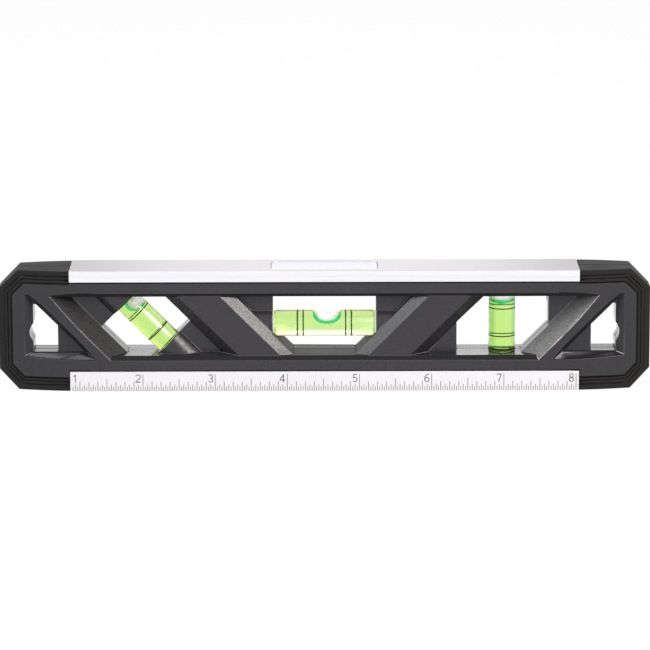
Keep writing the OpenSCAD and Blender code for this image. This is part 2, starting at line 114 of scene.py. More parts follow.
# How many radii from a rounded edge a neighbour makes it a seam, and the colour in a seam.
SEAM_REACH = 1.6
SEAM_SHADE = (0.001, 0.001, 0.001)

# The angle from which an edge of a turned piece or a bubble is sharp.
SHARP_ANGLE = math.radians(30)

# Brightness of the duller patches on plastic and rubber, the share of edge wear on edges that don't look up
# and to the side, where edges get no painted highlight, and how much smoother a rubbed edge is.
DULL = 0.82
PLAIN_EDGE_SHARE = 0.15
RUBBED_GLOSS = 0.1

# How much the shells' gloss varies with the grain and on each kind of wall, as shares of their roughness.
SPECKLE = 1.6
GRAIN_MEAN = 0.75
WALL_GLOSS = {"glossy": -0.6, "matt": 0.9, "narrow": -0.25}

# Each lamp's direction from the level, size, power and tint.
LAMP_DISTANCE = 1.0
LAMPS = {
    "key_softbox": ((0.62, -0.66, 0.45), 0.42, 7.2, (1.0, 0.945, 0.89)),
    "fill_softbox": ((-0.62, -0.66, 0.45), 0.42, 2.3, (1.0, 1.0, 1.0)),
    "left_softbox": ((-0.74, -0.24, 0.62), 0.4, 3.2, (1.0, 1.0, 1.0)),
    "rear_softbox": ((0.0, 0.94, 0.34), 0.24, 0.2, (1.0, 1.0, 1.0)),
}

# Tint and strength of the even light all round.
AMBIENT_TINT = (0.95, 0.97, 1.0, 1.0)
AMBIENT_STRENGTH = 0.58

# The floor's half width, its drop below the level, and how bright and how even the camera sees it.
FLOOR_HALF = 3.0
FLOOR_DROP = 0.02 * MM
FLOOR_BRIGHT = 1.04
FLOOR_EVEN = 0.86


def length(name, description, default, **limits):
    """A size in metres that a user may change."""
    return bpy.props.FloatProperty(
        name=name, description=description, default=default, min=0.0, unit="LENGTH", precision=6, **limits
    )


def share(name, description, default, top=1.0):
    """A plain number from 0 up, such as a roughness."""
    return bpy.props.FloatProperty(
        name=name, description=description, default=default, min=0.0, max=top, subtype="FACTOR"
    )


def colour(name, description, default):
    """A linear colour."""
    return bpy.props.FloatVectorProperty(
        name=name, description=description, default=default, size=3, min=0.0, max=1.0, subtype="COLOR"
    )


class ShellSettings(bpy.types.PropertyGroup):
    """The two moulded half shells."""

    plastic: colour("Plastic", "Colour of the moulded shells", (0.0250, 0.0232, 0.0288))
    # The rubbed colour is edge wear, and also a painted highlight on edges that look up and to the side.
    rubbed: colour("Rubbed edge", "Colour where handling has polished an edge", (0.15, 0.142, 0.13))
    wear: share("Wear", "How much of the edges is rubbed", 0.6)
    # Painted highlight: the right ramp's crest is this many times paler than other rubbed edges.
    bright: share("Bright crest", "How bright the right ramp's crest is beside other rubbed edges", 5.6, 8.0)
    # Painted shade and painted light: up-facing slopes are darker at the left end and paler at the right.
    left_slope_shade: share("Left slope", "How bright the left end's slope is beside the flat faces", 0.75, 4.0)
    right_slope_light: share("Right slope", "How bright the right end's slope is beside the flat faces", 2.8, 4.0)
    polish: share("Polish", "Polish of the walls square to the parting plane", 0.35)
    # Painted shade: the ends of the shells are darkened to this share of the middle's colour.
    handled: share("Handled", "How bright the ends are beside the middle, where hands hold the level", 0.7)
    # Painted shade: undersides and sill slopes get this far darker colour.
    shaded: colour("Shaded", "Colour of the matt sills and of the undersides", (0.004, 0.0038, 0.0046))
    roughness: share("Roughness", "Roughness of the satin mould finish", 0.3)
    grain: length("Grain", "Size of the spark eroded mould grain", 0.5 * MM)
    grain_depth: length("Grain depth", "Depth of that grain", 0.06 * MM)
    edge: length("Edge radius", "Radius on the moulded edges", 0.35 * MM)


class RailSettings(bpy.types.PropertyGroup):
    """The two aluminium edge rails and the magnet."""

    metal: colour("Anodised metal", "Colour of the satin anodised rails", (0.50, 0.472, 0.495))
    bare: colour("Bright edge", "Colour of the bright cut edges", (0.92, 0.91, 0.91))
    # Painted light: the lips are far paler than the top of the rails, for the light they catch.
    lip: colour("Lip", "Colour of the drawn lips down the front and the rear", (0.935, 0.935, 0.985))
    roughness: share("Roughness", "Roughness across the brushing", 0.3)
    edge: length("Edge radius", "Radius on the rail edges", 0.2 * MM)
    magnet: colour("Magnet", "Colour of the bonded magnet", (0.03, 0.029, 0.028))


class CapSettings(bpy.types.PropertyGroup):
    """The two rubber end caps."""

    rubber: colour("Rubber", "Colour of the end caps", (0.0085, 0.0078, 0.0076))
    scuffed: colour("Scuffed edge", "Colour where an edge has been scuffed", (0.035, 0.034, 0.033))
    roughness: share("Roughness", "Roughness of the rubber", 0.58)
    grain: length("Grain", "Size of the rubber's pores", 0.3 * MM)
    grain_depth: length("Grain depth", "Depth of those pores", 0.02 * MM)
    edge: length("Edge radius", "Radius on the rubber edges", 0.25 * MM)


class LensSettings(bpy.types.PropertyGroup):
    """The milky lens in the top rail."""

    acrylic: colour("Acrylic", "Colour of the milky lens", (0.81, 0.815, 0.91))
    roughness: share("Roughness", "Roughness of the lens", 0.22)
    clear: share("Clearness", "How much light the lens lets through", 0.3)
    edge: length("Edge radius", "Radius on the lens", 0.3 * MM)


class RulerSettings(bpy.types.PropertyGroup):
    """The white ruler strip and its print."""

    paint: colour("Paint", "Colour of the strip", (0.645, 0.64, 0.668))
    ink: colour("Ink", "Colour of the print", (0.15, 0.11, 0.11))
    sink: length("Sink", "How far the strip lies behind the face, so that the print is flush", 0.04 * MM)
    ink_t: length("Ink thickness", "Thickness of the print", 0.02 * MM)
    tick_w: length("Tick width", "Width of the ticks", 0.23 * MM)
    inch_h: length("Inch tick", "Height of a tick on the inch", 6.0 * MM)
    half_h: length("Half inch tick", "Height of a tick on the half inch", 4.4 * MM)
    eighth_h: length("Eighth tick", "Height of a tick on the eighth", 3.35 * MM)
    sixteenth_h: length("Sixteenth tick", "Height of a tick on the sixteenth", 2.3 * MM)
    fine_h: length("Fine tick", "Height of a tick on the thirty-second", 1.57 * MM)
    numeral_h: length("Numeral height", "Height of the numerals", 2.95 * MM)
    shift: length("Shift", "How far the print lies to the right on its strip", 0.2 * MM)
    pen: share("Pen", "Half the width of a pen stroke, as a share of the numeral height", 0.06)
    numeral_gap: length("Numeral gap", "Gap between a numeral and its tick", 0.85 * MM)
    edge: length("Edge radius", "Radius on the strip", 0.08 * MM)


class VialSettings(bpy.types.PropertyGroup):
    """The three vials."""

    acrylic: colour("Acrylic", "Colour of the clear tubes", (0.985, 1.0, 0.975))
    # Painted shade: a standing tube's flanks are darker green.
    painted_flank_shade: colour("Flank", "Colour of a standing tube's flanks", (0.34, 0.60, 0.28))
    dye: colour("Dye", "Colour that the dyed liquid lets through", (0.65, 0.88, 0.13))
    strength: bpy.props.FloatProperty(
        name="Dye strength", description="How strongly the dye absorbs, for each metre",
        default=235.0, min=0.0,
    )
    # Painted light standing in for the dye's fluorescence: the liquid glows in this colour whether lit or
    # not.
    glow: colour("Glow", "Colour in which the fluorescent dye glows", (0.45, 0.9, 0.1))
    glow_strength: bpy.props.FloatProperty(
        name="Glow strength", description="How strongly the dye glows, for each metre",
        default=7.0, min=0.0,
    )
    # Painted light: the tubes glow in this colour at their edges, where a lying tube looks down and to the
    # left, and where a tube looks straight up.
    edge: colour("Edge glow", "Colour of the dye's light along the edges of a tube", (0.95, 0.8, 0.22))
    painted_edge_glow: share("Edge glow strength", "How strongly the edges of a tube catch the dye's light", 0.25)
    # Painted light and shade: the bubble glows in these colours, white against the glass, darker inside its
    # rim and green at its rim.
    air: colour("Bubble", "Colour of the bubble against the glass", (0.96, 0.97, 0.97))
    bubble_inner_shade: colour("Bubble's lower part", "Colour of the bubble just inside its rim", (0.60, 0.585, 0.52))
    rim_painted_green: colour("Meniscus", "Colour of the bubble's rim in the liquid", (0.002, 0.60, 0.17))
    rim: length("Rim", "Width of the bubble's rim on the glass", 0.4 * MM)
    angle_rim: length("45 degree rim", "Width of the 45 degree bubble's rim on the glass", 0.1 * MM)
    shoulder: share("Shoulder", "How much wider the level bubble is at its lower end", 0.55)
    dyed: colour("Dyed plug", "Colour of the inner ends of the level vial's plugs", (0.56, 0.78, 0.24))
    dyed_to: length("Dyed to", "How far from the middle the level vial's plugs are dyed", 17.7 * MM)
    plug: colour("Plug", "Colour of the plugs", (0.92, 0.94, 0.90))
    ring: colour("Ring", "Colour of the printed rings", (0.012, 0.014, 0.008))
    # Painted light: the inner faces of the rings get this green, for the light seen through the liquid.
    ring_back_painted_tint: colour("Ring's back", "Colour of a ring seen through the liquid", (0.03, 0.16, 0.03))
    ring_w: length("Ring width", "Width of the printed rings", 0.31 * MM)
    bold: share("Bold rings", "How many times wider the plumb and 45 degree vials' rings are", 1.35, 4.0)
    foot: length("Foot", "How far the plumb tube's seal lies below its lower ring", 4.7 * MM)
    seal_w: length("Seal width", "Width of the plumb tube's seal", 0.7 * MM)
    ring_t: length("Ring thickness", "Thickness of the printed rings", 0.015 * MM)
    inset: length("Liquid inset", "Gap between the liquid and the plugs", 0.05 * MM)
    clear_below: length("Clear bottom", "How much higher than the tube the level vial's bore lies", 0.45 * MM)


class StageSettings(bpy.types.PropertyGroup):
    """The floor, the light and the camera."""

    floor: colour("Floor", "Colour of the pale floor", (0.87, 0.87, 0.87))
    distance: length("Camera distance", "Distance of the camera from the middle of the level", 1.400)
    elevation: bpy.props.FloatProperty(
        name="Camera elevation", description="Height of the camera above the horizon",
        default=math.radians(12.0), subtype="ANGLE",
    )
    azimuth: bpy.props.FloatProperty(
        name="Camera azimuth", description="Turn of the camera to the right of the front",
        default=0.0, subtype="ANGLE",
    )
    roll: bpy.props.FloatProperty(
        name="Camera roll", description="Turn of the camera about its own axis",
        default=math.radians(-0.137), subtype="ANGLE",
    )
    aim: bpy.props.FloatVectorProperty(
        name="Aim", description="Point that the camera looks at, from the middle of the level",
        default=(0.2 * MM, 0.0, -0.04 * MM), size=3, subtype="TRANSLATION", unit="LENGTH", precision=6,
    )
    lens: bpy.props.FloatProperty(
        name="Focal length", description="Focal length of the camera", default=219.3, min=1.0, unit="CAMERA"
    )


class LevelSettings(bpy.types.PropertyGroup):
    """All the settings of the torpedo level."""

    shells: bpy.props.PointerProperty(type=ShellSettings)
    rails: bpy.props.PointerProperty(type=RailSettings)
    caps: bpy.props.PointerProperty(type=CapSettings)
    top_lens: bpy.props.PointerProperty(type=LensSettings)
    ruler: bpy.props.PointerProperty(type=RulerSettings)
    vials: bpy.props.PointerProperty(type=VialSettings)
    stage: bpy.props.PointerProperty(type=StageSettings)


def add_object(name, mesh):
    """A new object for a mesh, linked at the origin."""
    piece = bpy.data.objects.new(name, mesh)
    bpy.context.scene.collection.objects.link(piece)
    return piece


def baked_mesh(source, name):
    """What an object shows with its modifiers, as a plain mesh. The object itself is removed."""
    graph = bpy.context.evaluated_depsgraph_get()
    mesh = bpy.data.meshes.new_from_object(
        source.evaluated_get(graph), preserve_all_data_layers=True, depsgraph=graph
    )
    mesh.name = name
    bpy.data.objects.remove(source)
    if not mesh.polygons:
        raise RuntimeError("Nothing was left of " + name)
    return mesh


def settle(piece, body, slot, *nodes, finishes=()):
    """Makes a finished piece ride on its body, with the given finishes, in place of CAD nodes. The slot is
    not used.
    """
    for finish in finishes:
        piece.data.materials.append(finish)
    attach(piece, body)
    if nodes:
        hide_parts(*nodes)


def cad_node(name):
    """A CAD node's object. Whatever needs one that isn't there can't be finished."""
    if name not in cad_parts:
        raise RuntimeError("The CAD model has no node named " + name)
    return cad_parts[name]


def cad_copy(node):
    """A CAD node's mesh with its loose triangles merged into one surface."""
    shape = bmesh.new()
    shape.from_mesh(cad_node(node).data)
    bmesh.ops.remove_doubles(shape, verts=shape.verts, dist=1e-6)
    return shape


def reach_across(loop, forward, sharp, most_steps=64, straight=155.0):
    """How far the flat surface on one side of an edge reaches, at one of the edge's ends.

    Walks round that end over the flat edges to the next sharp one.
    """
    angle = 0.0
    step = loop
    for _ in range(most_steps):
        corner = step.link_loop_next if forward else step
        angle += corner.calc_angle()
        step = corner if forward else step.link_loop_prev
        if step.edge in sharp:
            break
        step = step.link_loop_radial_next
    if angle > math.radians(straight):
        return math.inf
    return step.edge.calc_length() * math.sin(angle)


def weigh_edges(shape, radius, widen=None, sharpest=13.0, fraction=0.4, least=0.08):
    """Gives each sharp edge a bevel weight: the whole radius, or less where there is less room.

    widen tells how many times the radius an edge has.
    """
    weights = shape.edges.layers.float.new("bevel_weight_edge")
    sharp = {edge for edge in shape.edges if edge.calc_face_angle(math.pi) > math.radians(sharpest)}
    for face in shape.faces:
        face.smooth = True
    for edge in sharp:
        room = min(reach_across(loop, end, sharp) for loop in edge.link_loops for end in (False, True))
        weight = min(widen(edge) if widen else 1.0, fraction * room / radius)
        if weight > least:
            edge[weights] = weight
        else:
            edge.smooth = False


def rounded_piece(name, shape, radius, beside=(), segments=3, dished=None, widen=None):
    """A piece with rounded edges. Its attribute edge is 1 along the free ones.

    Its attribute seam is 1 along those that lie against the CAD nodes beside the piece. dished may turn
    the normal of a flat face's corner, from the face's normal and the corner. widen tells how many times
    the radius an edge has.
    """
    weigh_edges(shape, radius, widen)
    mesh = bpy.data.meshes.new(name)
    shape.to_mesh(mesh)
    shape.free()
    mesh.materials.append(None)
    mesh.materials.append(None)
    rough = add_object(name + "_rough", mesh)
    bevel = rough.modifiers.new("rounding", "BEVEL")
    bevel.limit_method = "WEIGHT"
    bevel.width = radius
    bevel.segments = segments
    bevel.use_clamp_overlap = False
    bevel.loop_slide = False
    bevel.material = 1
    mesh = baked_mesh(rough, name)
    even_normals(mesh, dished)
    mark_edges(mesh, [node_tree(node) for node in beside], SEAM_REACH * radius)
    return add_object(name, mesh)


def even_normals(mesh, dished=None, smooth=10.0, askew=0.02):
    """Shades flat faces flat, curved ones smoothly, and lets the rounded edges run between them.

    A rounded edge that runs along the level stays straight up to its ends.
    """
    flat = [[] for _ in mesh.vertices]
    rounded = [[] for _ in mesh.vertices]
    owners = {}
    for face in mesh.polygons:
        for index in face.vertices:
            (flat if face.material_index == 0 else rounded)[index].append(face)
        if face.material_index == 0:
            for key in face.edge_keys:
                owners[key] = face
    limit = math.cos(math.radians(smooth))

    def corner_normal(face, index):
        """The normal of a face at one of its points."""
        if face.material_index == 0:
            near = [f for f in flat[index] if f.normal.dot(face.normal) > limit]
            whole = sum((f.normal * f.area for f in near), Vector())
            return dished(whole.normalized(), mesh.vertices[index].co) if dished and whole.length else whole
        beside = [owners[key] for key in face.edge_keys if index in key and key in owners]
        if beside:
            return corner_normal(max(beside, key=lambda f: f.area), index)
        if flat[index]:
            return corner_normal(max(flat[index], key=lambda f: f.normal.dot(face.normal)), index)
        return sum((f.normal for f in rounded[index]), Vector())

    normals = []
    for face in mesh.polygons:
        for index in face.vertices:
            normal = corner_normal(face, index)
            if face.material_index and abs(face.normal.x) < askew:
                normal = Vector((0.0, normal.y, normal.z))
            normals.append(normal.normalized() if normal.length else face.normal.copy())
    mesh.normals_split_custom_set(normals)


def node_tree(node):
    """A search tree of a CAD node's surface."""
    data = cad_node(node).data
    return BVHTree.FromPolygons([v.co for v in data.vertices], [tuple(f.vertices) for f in data.polygons])


def mark_edges(mesh, beside, reach):
    """Turns the bevel's own material index into the attributes edge and seam."""
    rounded = [True] * len(mesh.vertices)
    for face in mesh.polygons:
        if face.material_index == 0:
            for index in face.vertices:
                rounded[index] = False
        face.material_index = 0
    mesh.materials.clear()
    seams = [
        r and any(tree.find_nearest(vert.co, reach)[0] for tree in beside)
        for r, vert in zip(rounded, mesh.vertices)
    ]
    edge = mesh.attributes.new("edge", "FLOAT", "POINT")
    edge.data.foreach_set("value", [float(r and not s) for r, s in zip(rounded, seams)])
    seam = mesh.attributes.new("seam", "FLOAT", "POINT")
    seam.data.foreach_set("value", [float(s) for s in seams])


def group_tree(name, inputs, outputs):
    """A new shader node group, with its input and output nodes."""
    tree = bpy.data.node_groups.new(name, "ShaderNodeTree")
    for socket, kind, default in inputs:
        made = tree.interface.new_socket(socket, in_out="INPUT", socket_type=kind)
        if default is not None:
            made.default_value = default
    for socket, kind in outputs:
        tree.interface.new_socket(socket, in_out="OUTPUT", socket_type=kind)
    return tree, tree.nodes.new("NodeGroupInput"), tree.nodes.new("NodeGroupOutput")


def math_node(tree, operation, *values, clamp=False):
    """A Math node whose values are numbers or sockets. Returns its output."""
    node = tree.nodes.new("ShaderNodeMath")
    node.operation = operation
    node.use_clamp = clamp
    for socket, value in zip(node.inputs, values):
        if isinstance(value, (int, float)):
            socket.default_value = value
        else:
            tree.links.new(value, socket)
    return node.outputs[0]


def noise_node(tree, vector, scale, detail=2.0, rough=0.5):
    """A Noise Texture. Returns its value from 0 to 1."""
    node = tree.nodes.new("ShaderNodeTexNoise")
    node.inputs["Detail"].default_value = detail
    node.inputs["Roughness"].default_value = rough
    tree.links.new(vector, node.inputs["Vector"])
    if isinstance(scale, (int, float)):
        node.inputs["Scale"].default_value = scale
    else:
        tree.links.new(scale, node.inputs["Scale"])
    return node.outputs["Fac"]


def spread(tree, value, low, high):
    """Stretches a value that lies near 0.5 over the range low to high."""
    node = tree.nodes.new("ShaderNodeMapRange")
    node.inputs["From Min"].default_value = 0.3
    node.inputs["From Max"].default_value = 0.7
    for socket, end in (("To Min", low), ("To Max", high)):
        if isinstance(end, (int, float)):
            node.inputs[socket].default_value = end
        else:
            tree.links.new(end, node.inputs[socket])
    tree.links.new(value, node.inputs["Value"])
    return node.outputs["Result"]


def ramp(tree, value, start, end):
    """0 where a value is at start, 1 where it is at end, and even between them."""
    slope = 1.0 / (end - start)
    return math_node(tree, "MULTIPLY_ADD", value, slope, -start * slope, clamp=True)


def toned(base, factor):
    """A colour made brighter or darker."""
    return tuple(min(1.0, factor * part) for part in base)


def grain_group():
    """Fine moulded grain: a height, and a slow patchiness as on plastic or rubber that was handled."""
    name = "moulded_grain"
    if name in bpy.data.node_groups:
        return bpy.data.node_groups[name]
    tree, given, made = group_tree(
        name,
        [("Vector", "NodeSocketVector", None), ("Size", "NodeSocketFloat", 0.0002)],
        [("Height", "NodeSocketFloat"), ("Patches", "NodeSocketFloat")],
    )
    scale = math_node(tree, "DIVIDE", 1.0, given.outputs["Size"])
    fine = noise_node(tree, given.outputs["Vector"], scale, detail=3.0, rough=0.6)
    coarse_scale = math_node(tree, "MULTIPLY", scale, 0.31)
    coarse = noise_node(tree, given.outputs["Vector"], coarse_scale, detail=1.0)
    height = math_node(tree, "MULTIPLY_ADD", coarse, 0.5, fine)
    patches = noise_node(tree, given.outputs["Vector"], 85.0, detail=4.0, rough=0.62)
    tree.links.new(height, made.inputs["Height"])
    tree.links.new(patches, made.inputs["Patches"])
    return tree


def rub_group():
    """Wear along rounded edges, broken up so that it isn't an even line."""
    name = "rubbed_edges"
    if name in bpy.data.node_groups:
        return bpy.data.node_groups[name]
    tree, given, made = group_tree(
        name,
        [
            ("Edge", "NodeSocketFloat", 0.0),
            ("Vector", "NodeSocketVector", None),
            ("Amount", "NodeSocketFloat", 0.5),
        ],
        [("Mask", "NodeSocketFloat")],
    )
    broken = noise_node(tree, given.outputs["Vector"], 240.0, detail=5.0, rough=0.7)
    worn = spread(tree, broken, 0.15, 1.0)
    mask = math_node(tree, "MULTIPLY", given.outputs["Edge"], worn)
    mask = math_node(tree, "MULTIPLY", mask, given.outputs["Amount"], clamp=True)
    tree.links.new(mask, made.inputs["Mask"])
    return tree


def brushed_group():
    """Fine lines along the level, as brushing leaves on a rail: a height and a brightness."""
    name = "brushed_lines"
    if name in bpy.data.node_groups:
        return bpy.data.node_groups[name]
    tree, given, made = group_tree(
        name,
        [("Vector", "NodeSocketVector", None), ("Stretch", "NodeSocketFloat", 60.0)],
        [("Height", "NodeSocketFloat"), ("Lines", "NodeSocketFloat")],
    )
    squeeze = tree.nodes.new("ShaderNodeCombineXYZ")
    tree.links.new(math_node(tree, "DIVIDE", 1.0, given.outputs["Stretch"]), squeeze.inputs["X"])
    squeeze.inputs["Y"].default_value = 1.0
    squeeze.inputs["Z"].default_value = 1.0
    stretched = tree.nodes.new("ShaderNodeVectorMath")
    stretched.operation = "MULTIPLY"
    tree.links.new(given.outputs["Vector"], stretched.inputs[0])
    tree.links.new(squeeze.outputs[0], stretched.inputs[1])
    fine = noise_node(tree, stretched.outputs[0], 5200.0, detail=2.0)
    wide = noise_node(tree, stretched.outputs[0], 900.0, detail=3.0, rough=0.6)
    tree.links.new(fine, made.inputs["Height"])
    tree.links.new(math_node(tree, "ADD", math_node(tree, "MULTIPLY", fine, 0.45),
                             math_node(tree, "MULTIPLY", wide, 0.55)), made.inputs["Lines"])
    return tree


class Finish:
    """A new material with one Principled shader, and short ways to feed it."""

    def __init__(self, name, **constants):
        self.material = bpy.data.materials.new(name)
        self.material.use_nodes = True
        self.tree = self.material.node_tree
        self.shader = self.tree.nodes["Principled BSDF"]
        self.set(**constants)

    def set(self, **constants):
        """Sets sockets of the shader, named with underscores."""
        for key, value in constants.items():
            socket = self.shader.inputs[key.replace("_", " ")]
            socket.default_value = (*value, 1.0) if socket.type == "RGBA" else value

    def place(self):
        """Where on the object a point lies, in the CAD model's frame."""
        return self.tree.nodes.new("ShaderNodeTexCoord").outputs["Object"]

    def normal(self):
        """Where the surface looks, in the CAD model's frame."""
        return self.tree.nodes.new("ShaderNodeTexCoord").outputs["Normal"]

    def split(self, vector):
        """The X, Y and Z of a vector."""
        node = self.tree.nodes.new("ShaderNodeSeparateXYZ")
        self.tree.links.new(vector, node.inputs[0])
        return node.outputs

    def attribute(self, name):
        """A value that the mesh holds at each point."""
        node = self.tree.nodes.new("ShaderNodeAttribute")
        node.attribute_name = name
        return node.outputs["Fac"]

    def group(self, tree, **values):
        """Places a node group. Its inputs are numbers or sockets."""
        node = self.tree.nodes.new("ShaderNodeGroup")
        node.node_tree = tree
        for key, value in values.items():
            if isinstance(value, (int, float)):
                node.inputs[key].default_value = value
            else:
                self.tree.links.new(value, node.inputs[key])
        return node.outputs

    def feed(self, socket, value):
        """Links a value to a socket of the shader."""
        self.tree.links.new(value, self.shader.inputs[socket])

    def blend(self, mask, first, second):
        """Blends two colours by a mask. Returns the colour."""
        node = self.tree.nodes.new("ShaderNodeMix")
        node.data_type = "RGBA"
        self.tree.links.new(mask, node.inputs["Factor"])
        for socket, value in ((node.inputs[6], first), (node.inputs[7], second)):
            if isinstance(value, bpy.types.NodeSocket):
                self.tree.links.new(value, socket)
            else:
                socket.default_value = (*value, 1.0)
        return node.outputs[2]

    def mottled(self, mask, low, high):
        """Runs from one colour to another with a mask that lies near 0.5."""
        return self.blend(spread(self.tree, mask, 0.0, 1.0), low, high)

    def varied(self, mask, value, part):
        """A value that varies by a part of itself with a mask that lies near 0.5."""
        return spread(self.tree, mask, value * (1.0 - part), value * (1.0 + part))

    def bump(self, height, distance):
        """Raises the surface by a height from 0 to 1 times a distance."""
        node = self.tree.nodes.new("ShaderNodeBump")
        node.inputs["Strength"].default_value = 1.0
        node.inputs["Distance"].default_value = distance
        self.tree.links.new(height, node.inputs["Height"])
        self.feed("Normal", node.outputs["Normal"])


def aged_surface(finish, shade, gloss, surface, rubbed, seam, worn, depth):
    """Feeds a moulded surface: its colour and gloss with rubbed edges, dark seams and grain."""
    aged = finish.blend(rubbed["Mask"], shade, worn)
    finish.feed("Base Color", finish.blend(seam, aged, SEAM_SHADE))
    gloss = math_node(finish.tree, "MULTIPLY_ADD", rubbed["Mask"], -RUBBED_GLOSS, gloss)
    finish.feed("Roughness", math_node(finish.tree, "ADD", gloss, seam, clamp=True))
    finish.bump(surface["Height"], depth)


def moulded_finish(name, base, worn, roughness, grain, depth, wear, specular):
    """Moulded plastic or rubber: grain, patchy gloss, rubbed edges and dark seams."""
    finish = Finish(name, Specular_IOR_Level=specular)
    place = finish.place()
    surface = finish.group(grain_group(), Vector=place, Size=grain)
    rubbed = finish.group(rub_group(), Edge=finish.attribute("edge"), Vector=place, Amount=wear)
    shade = finish.mottled(surface["Patches"], toned(base, DULL), base)
    gloss = finish.varied(surface["Patches"], roughness, 0.1)
    aged_surface(finish, shade, gloss, surface, rubbed, finish.attribute("seam"), worn, depth)
    return finish.material


def shell_masks(finish, place):
    """Where on the shells each kind of surface lies, as masks from 0 to 1 by name."""
    tree = finish.tree
    at = finish.split(place)
    side = finish.split(finish.normal())
    facing = math_node(tree, "ABSOLUTE", side["Y"])
    across = math_node(tree, "ABSOLUTE", side["X"])
    out = math_node(tree, "ABSOLUTE", at["X"])

    def both(first, second):
        """Where two masks meet."""
        return math_node(tree, "MULTIPLY", first, second)

    raised = ramp(tree, side["Z"], -0.05, 0.2)
    # Faces that look up and to the side, where rubbed edges are also a painted highlight and slopes get
    # painted light.
    highlight_facing = both(ramp(tree, across, 0.0, 1 / 3), raised)
    off_slope = math_node(tree, "ABSOLUTE", math_node(tree, "SUBTRACT", facing, 0.68))
    wall = ramp(tree, facing, 0.4, 0.0)
    matt = both(wall, math_node(tree, "LESS_THAN", out, WINDOW_HALF))
    crest_highlight = both(ramp(tree, side["X"], 0.0, -0.25), ramp(tree, side["Z"], 0.0, 0.25))
    return {
        "highlight_facing": highlight_facing,
        # Up-facing drafted slopes, which get painted shade at the left end and painted light at the right.
        "painted_slope": both(ramp(tree, off_slope, 0.2, 0.0), both(highlight_facing, raised)),
        "right": math_node(tree, "GREATER_THAN", at["X"], 0.0),
        "narrow": both(ramp(tree, facing, 0.78, 0.88), ramp(tree, across, 0.2, 0.325)),
        "matt": matt,
        "glossy": math_node(tree, "SUBTRACT", wall, matt),
        # Where the painted shade of the ends grows.
        "ends": ramp(tree, out, END_SHADE_FROM, END_SHADE_TO),
        # The right ramp's crest, which gets a painted highlight.
        "crest": both(math_node(tree, "GREATER_THAN", at["X"], CREST_FROM), crest_highlight),
    }


def shell_finish(settings):
    """The shells' moulded plastic, with worn edges, and with painted light and shade on parts of it.

    The ends are darker than the middle, as painted shade. The up-facing drafted slopes are darker at the left
    end as painted shade and paler at the right as painted light, and the right ramp's crest has a painted
    highlight. Rubbed edges that look up and to the side are partly a painted highlight. The narrow slopes
    beside the level vial are smoother, the walls square to the parting plane are polished, and the middle
    window's walls are matt.
    """
    finish = Finish("moulded_plastic", Specular_IOR_Level=0.42, Coat_Roughness=0.1)
    tree = finish.tree
    place = finish.place()
    surface = finish.group(grain_group(), Vector=place, Size=settings.grain)
    masks = shell_masks(finish, place)
    wear = settings.wear
    # Edges that look up and to the side get the full rubbed colour, partly wear and partly a painted
    # highlight; other edges keep a plain share of wear.
    amount = math_node(tree, "MULTIPLY_ADD", masks["highlight_facing"], (1.0 - PLAIN_EDGE_SHARE) * wear, PLAIN_EDGE_SHARE * wear)
    rubbed = finish.group(rub_group(), Edge=finish.attribute("edge"), Vector=place, Amount=amount)

    # Painted shade: the shells darken from the middle towards both ends.
    base = settings.plastic
    shaded_end = toned(base, settings.handled)
    clean = finish.blend(masks["ends"], base, shaded_end)
    dull = finish.blend(masks["ends"], toned(base, DULL), toned(shaded_end, DULL))
    # Painted shade and painted light: up-facing slopes are darker at the left end and paler at the right than
    # the flat faces.
    grey = (base[0],) * 3
    slope = finish.blend(masks["right"], toned(grey, settings.left_slope_shade), toned(grey, settings.right_slope_light))
    shade = finish.blend(masks["painted_slope"], finish.mottled(surface["Patches"], dull, clean), slope)

    rough = settings.roughness
    speckle = math_node(tree, "SUBTRACT", surface["Height"], GRAIN_MEAN)
    gloss = finish.varied(surface["Patches"], rough, 0.1)
    gloss = math_node(tree, "MULTIPLY_ADD", speckle, SPECKLE * rough, gloss)
    for wall, change in WALL_GLOSS.items():
        gloss = math_node(tree, "MULTIPLY_ADD", masks[wall], change * rough, gloss)
    finish.feed("Coat Weight", math_node(tree, "MULTIPLY", masks["glossy"], settings.polish))
    # Painted highlight on the right ramp's crest.
    worn = finish.blend(masks["crest"], settings.rubbed, toned(settings.rubbed, settings.bright))
    aged_surface(finish, shade, gloss, surface, rubbed, finish.attribute("seam"), worn, settings.grain_depth)
    return finish.material


def metal_finish(settings):
    """Satin anodised aluminium, brushed along the level. Its upright lips are far paler, as painted light."""
    finish = Finish("anodised_aluminium", Metallic=1.0)
    tree = finish.tree
    place = finish.place()
    lines = finish.group(brushed_group(), Vector=place, Stretch=60.0)
    rubbed = finish.group(rub_group(), Edge=finish.attribute("edge"), Vector=place, Amount=0.9)
    brushed = finish.mottled(lines["Lines"], toned(settings.metal, 0.84), settings.metal)
    # Painted light: faces that look forwards or backwards get the paler lip colour.
    drawn = finish.mottled(lines["Lines"], toned(settings.lip, 0.88), settings.lip)
    upright = math_node(tree, "ABSOLUTE", finish.split(finish.normal())["Y"])
    shade = finish.blend(math_node(tree, "POWER", upright, 4.0), brushed, drawn)
    finish.feed("Base Color", finish.blend(rubbed["Mask"], shade, settings.bare))
    rough = settings.roughness
    finish.feed("Roughness", spread(tree, lines["Lines"], rough * 0.8, rough * 1.25))
    finish.bump(lines["Height"], 0.004 * MM)
    return finish.material


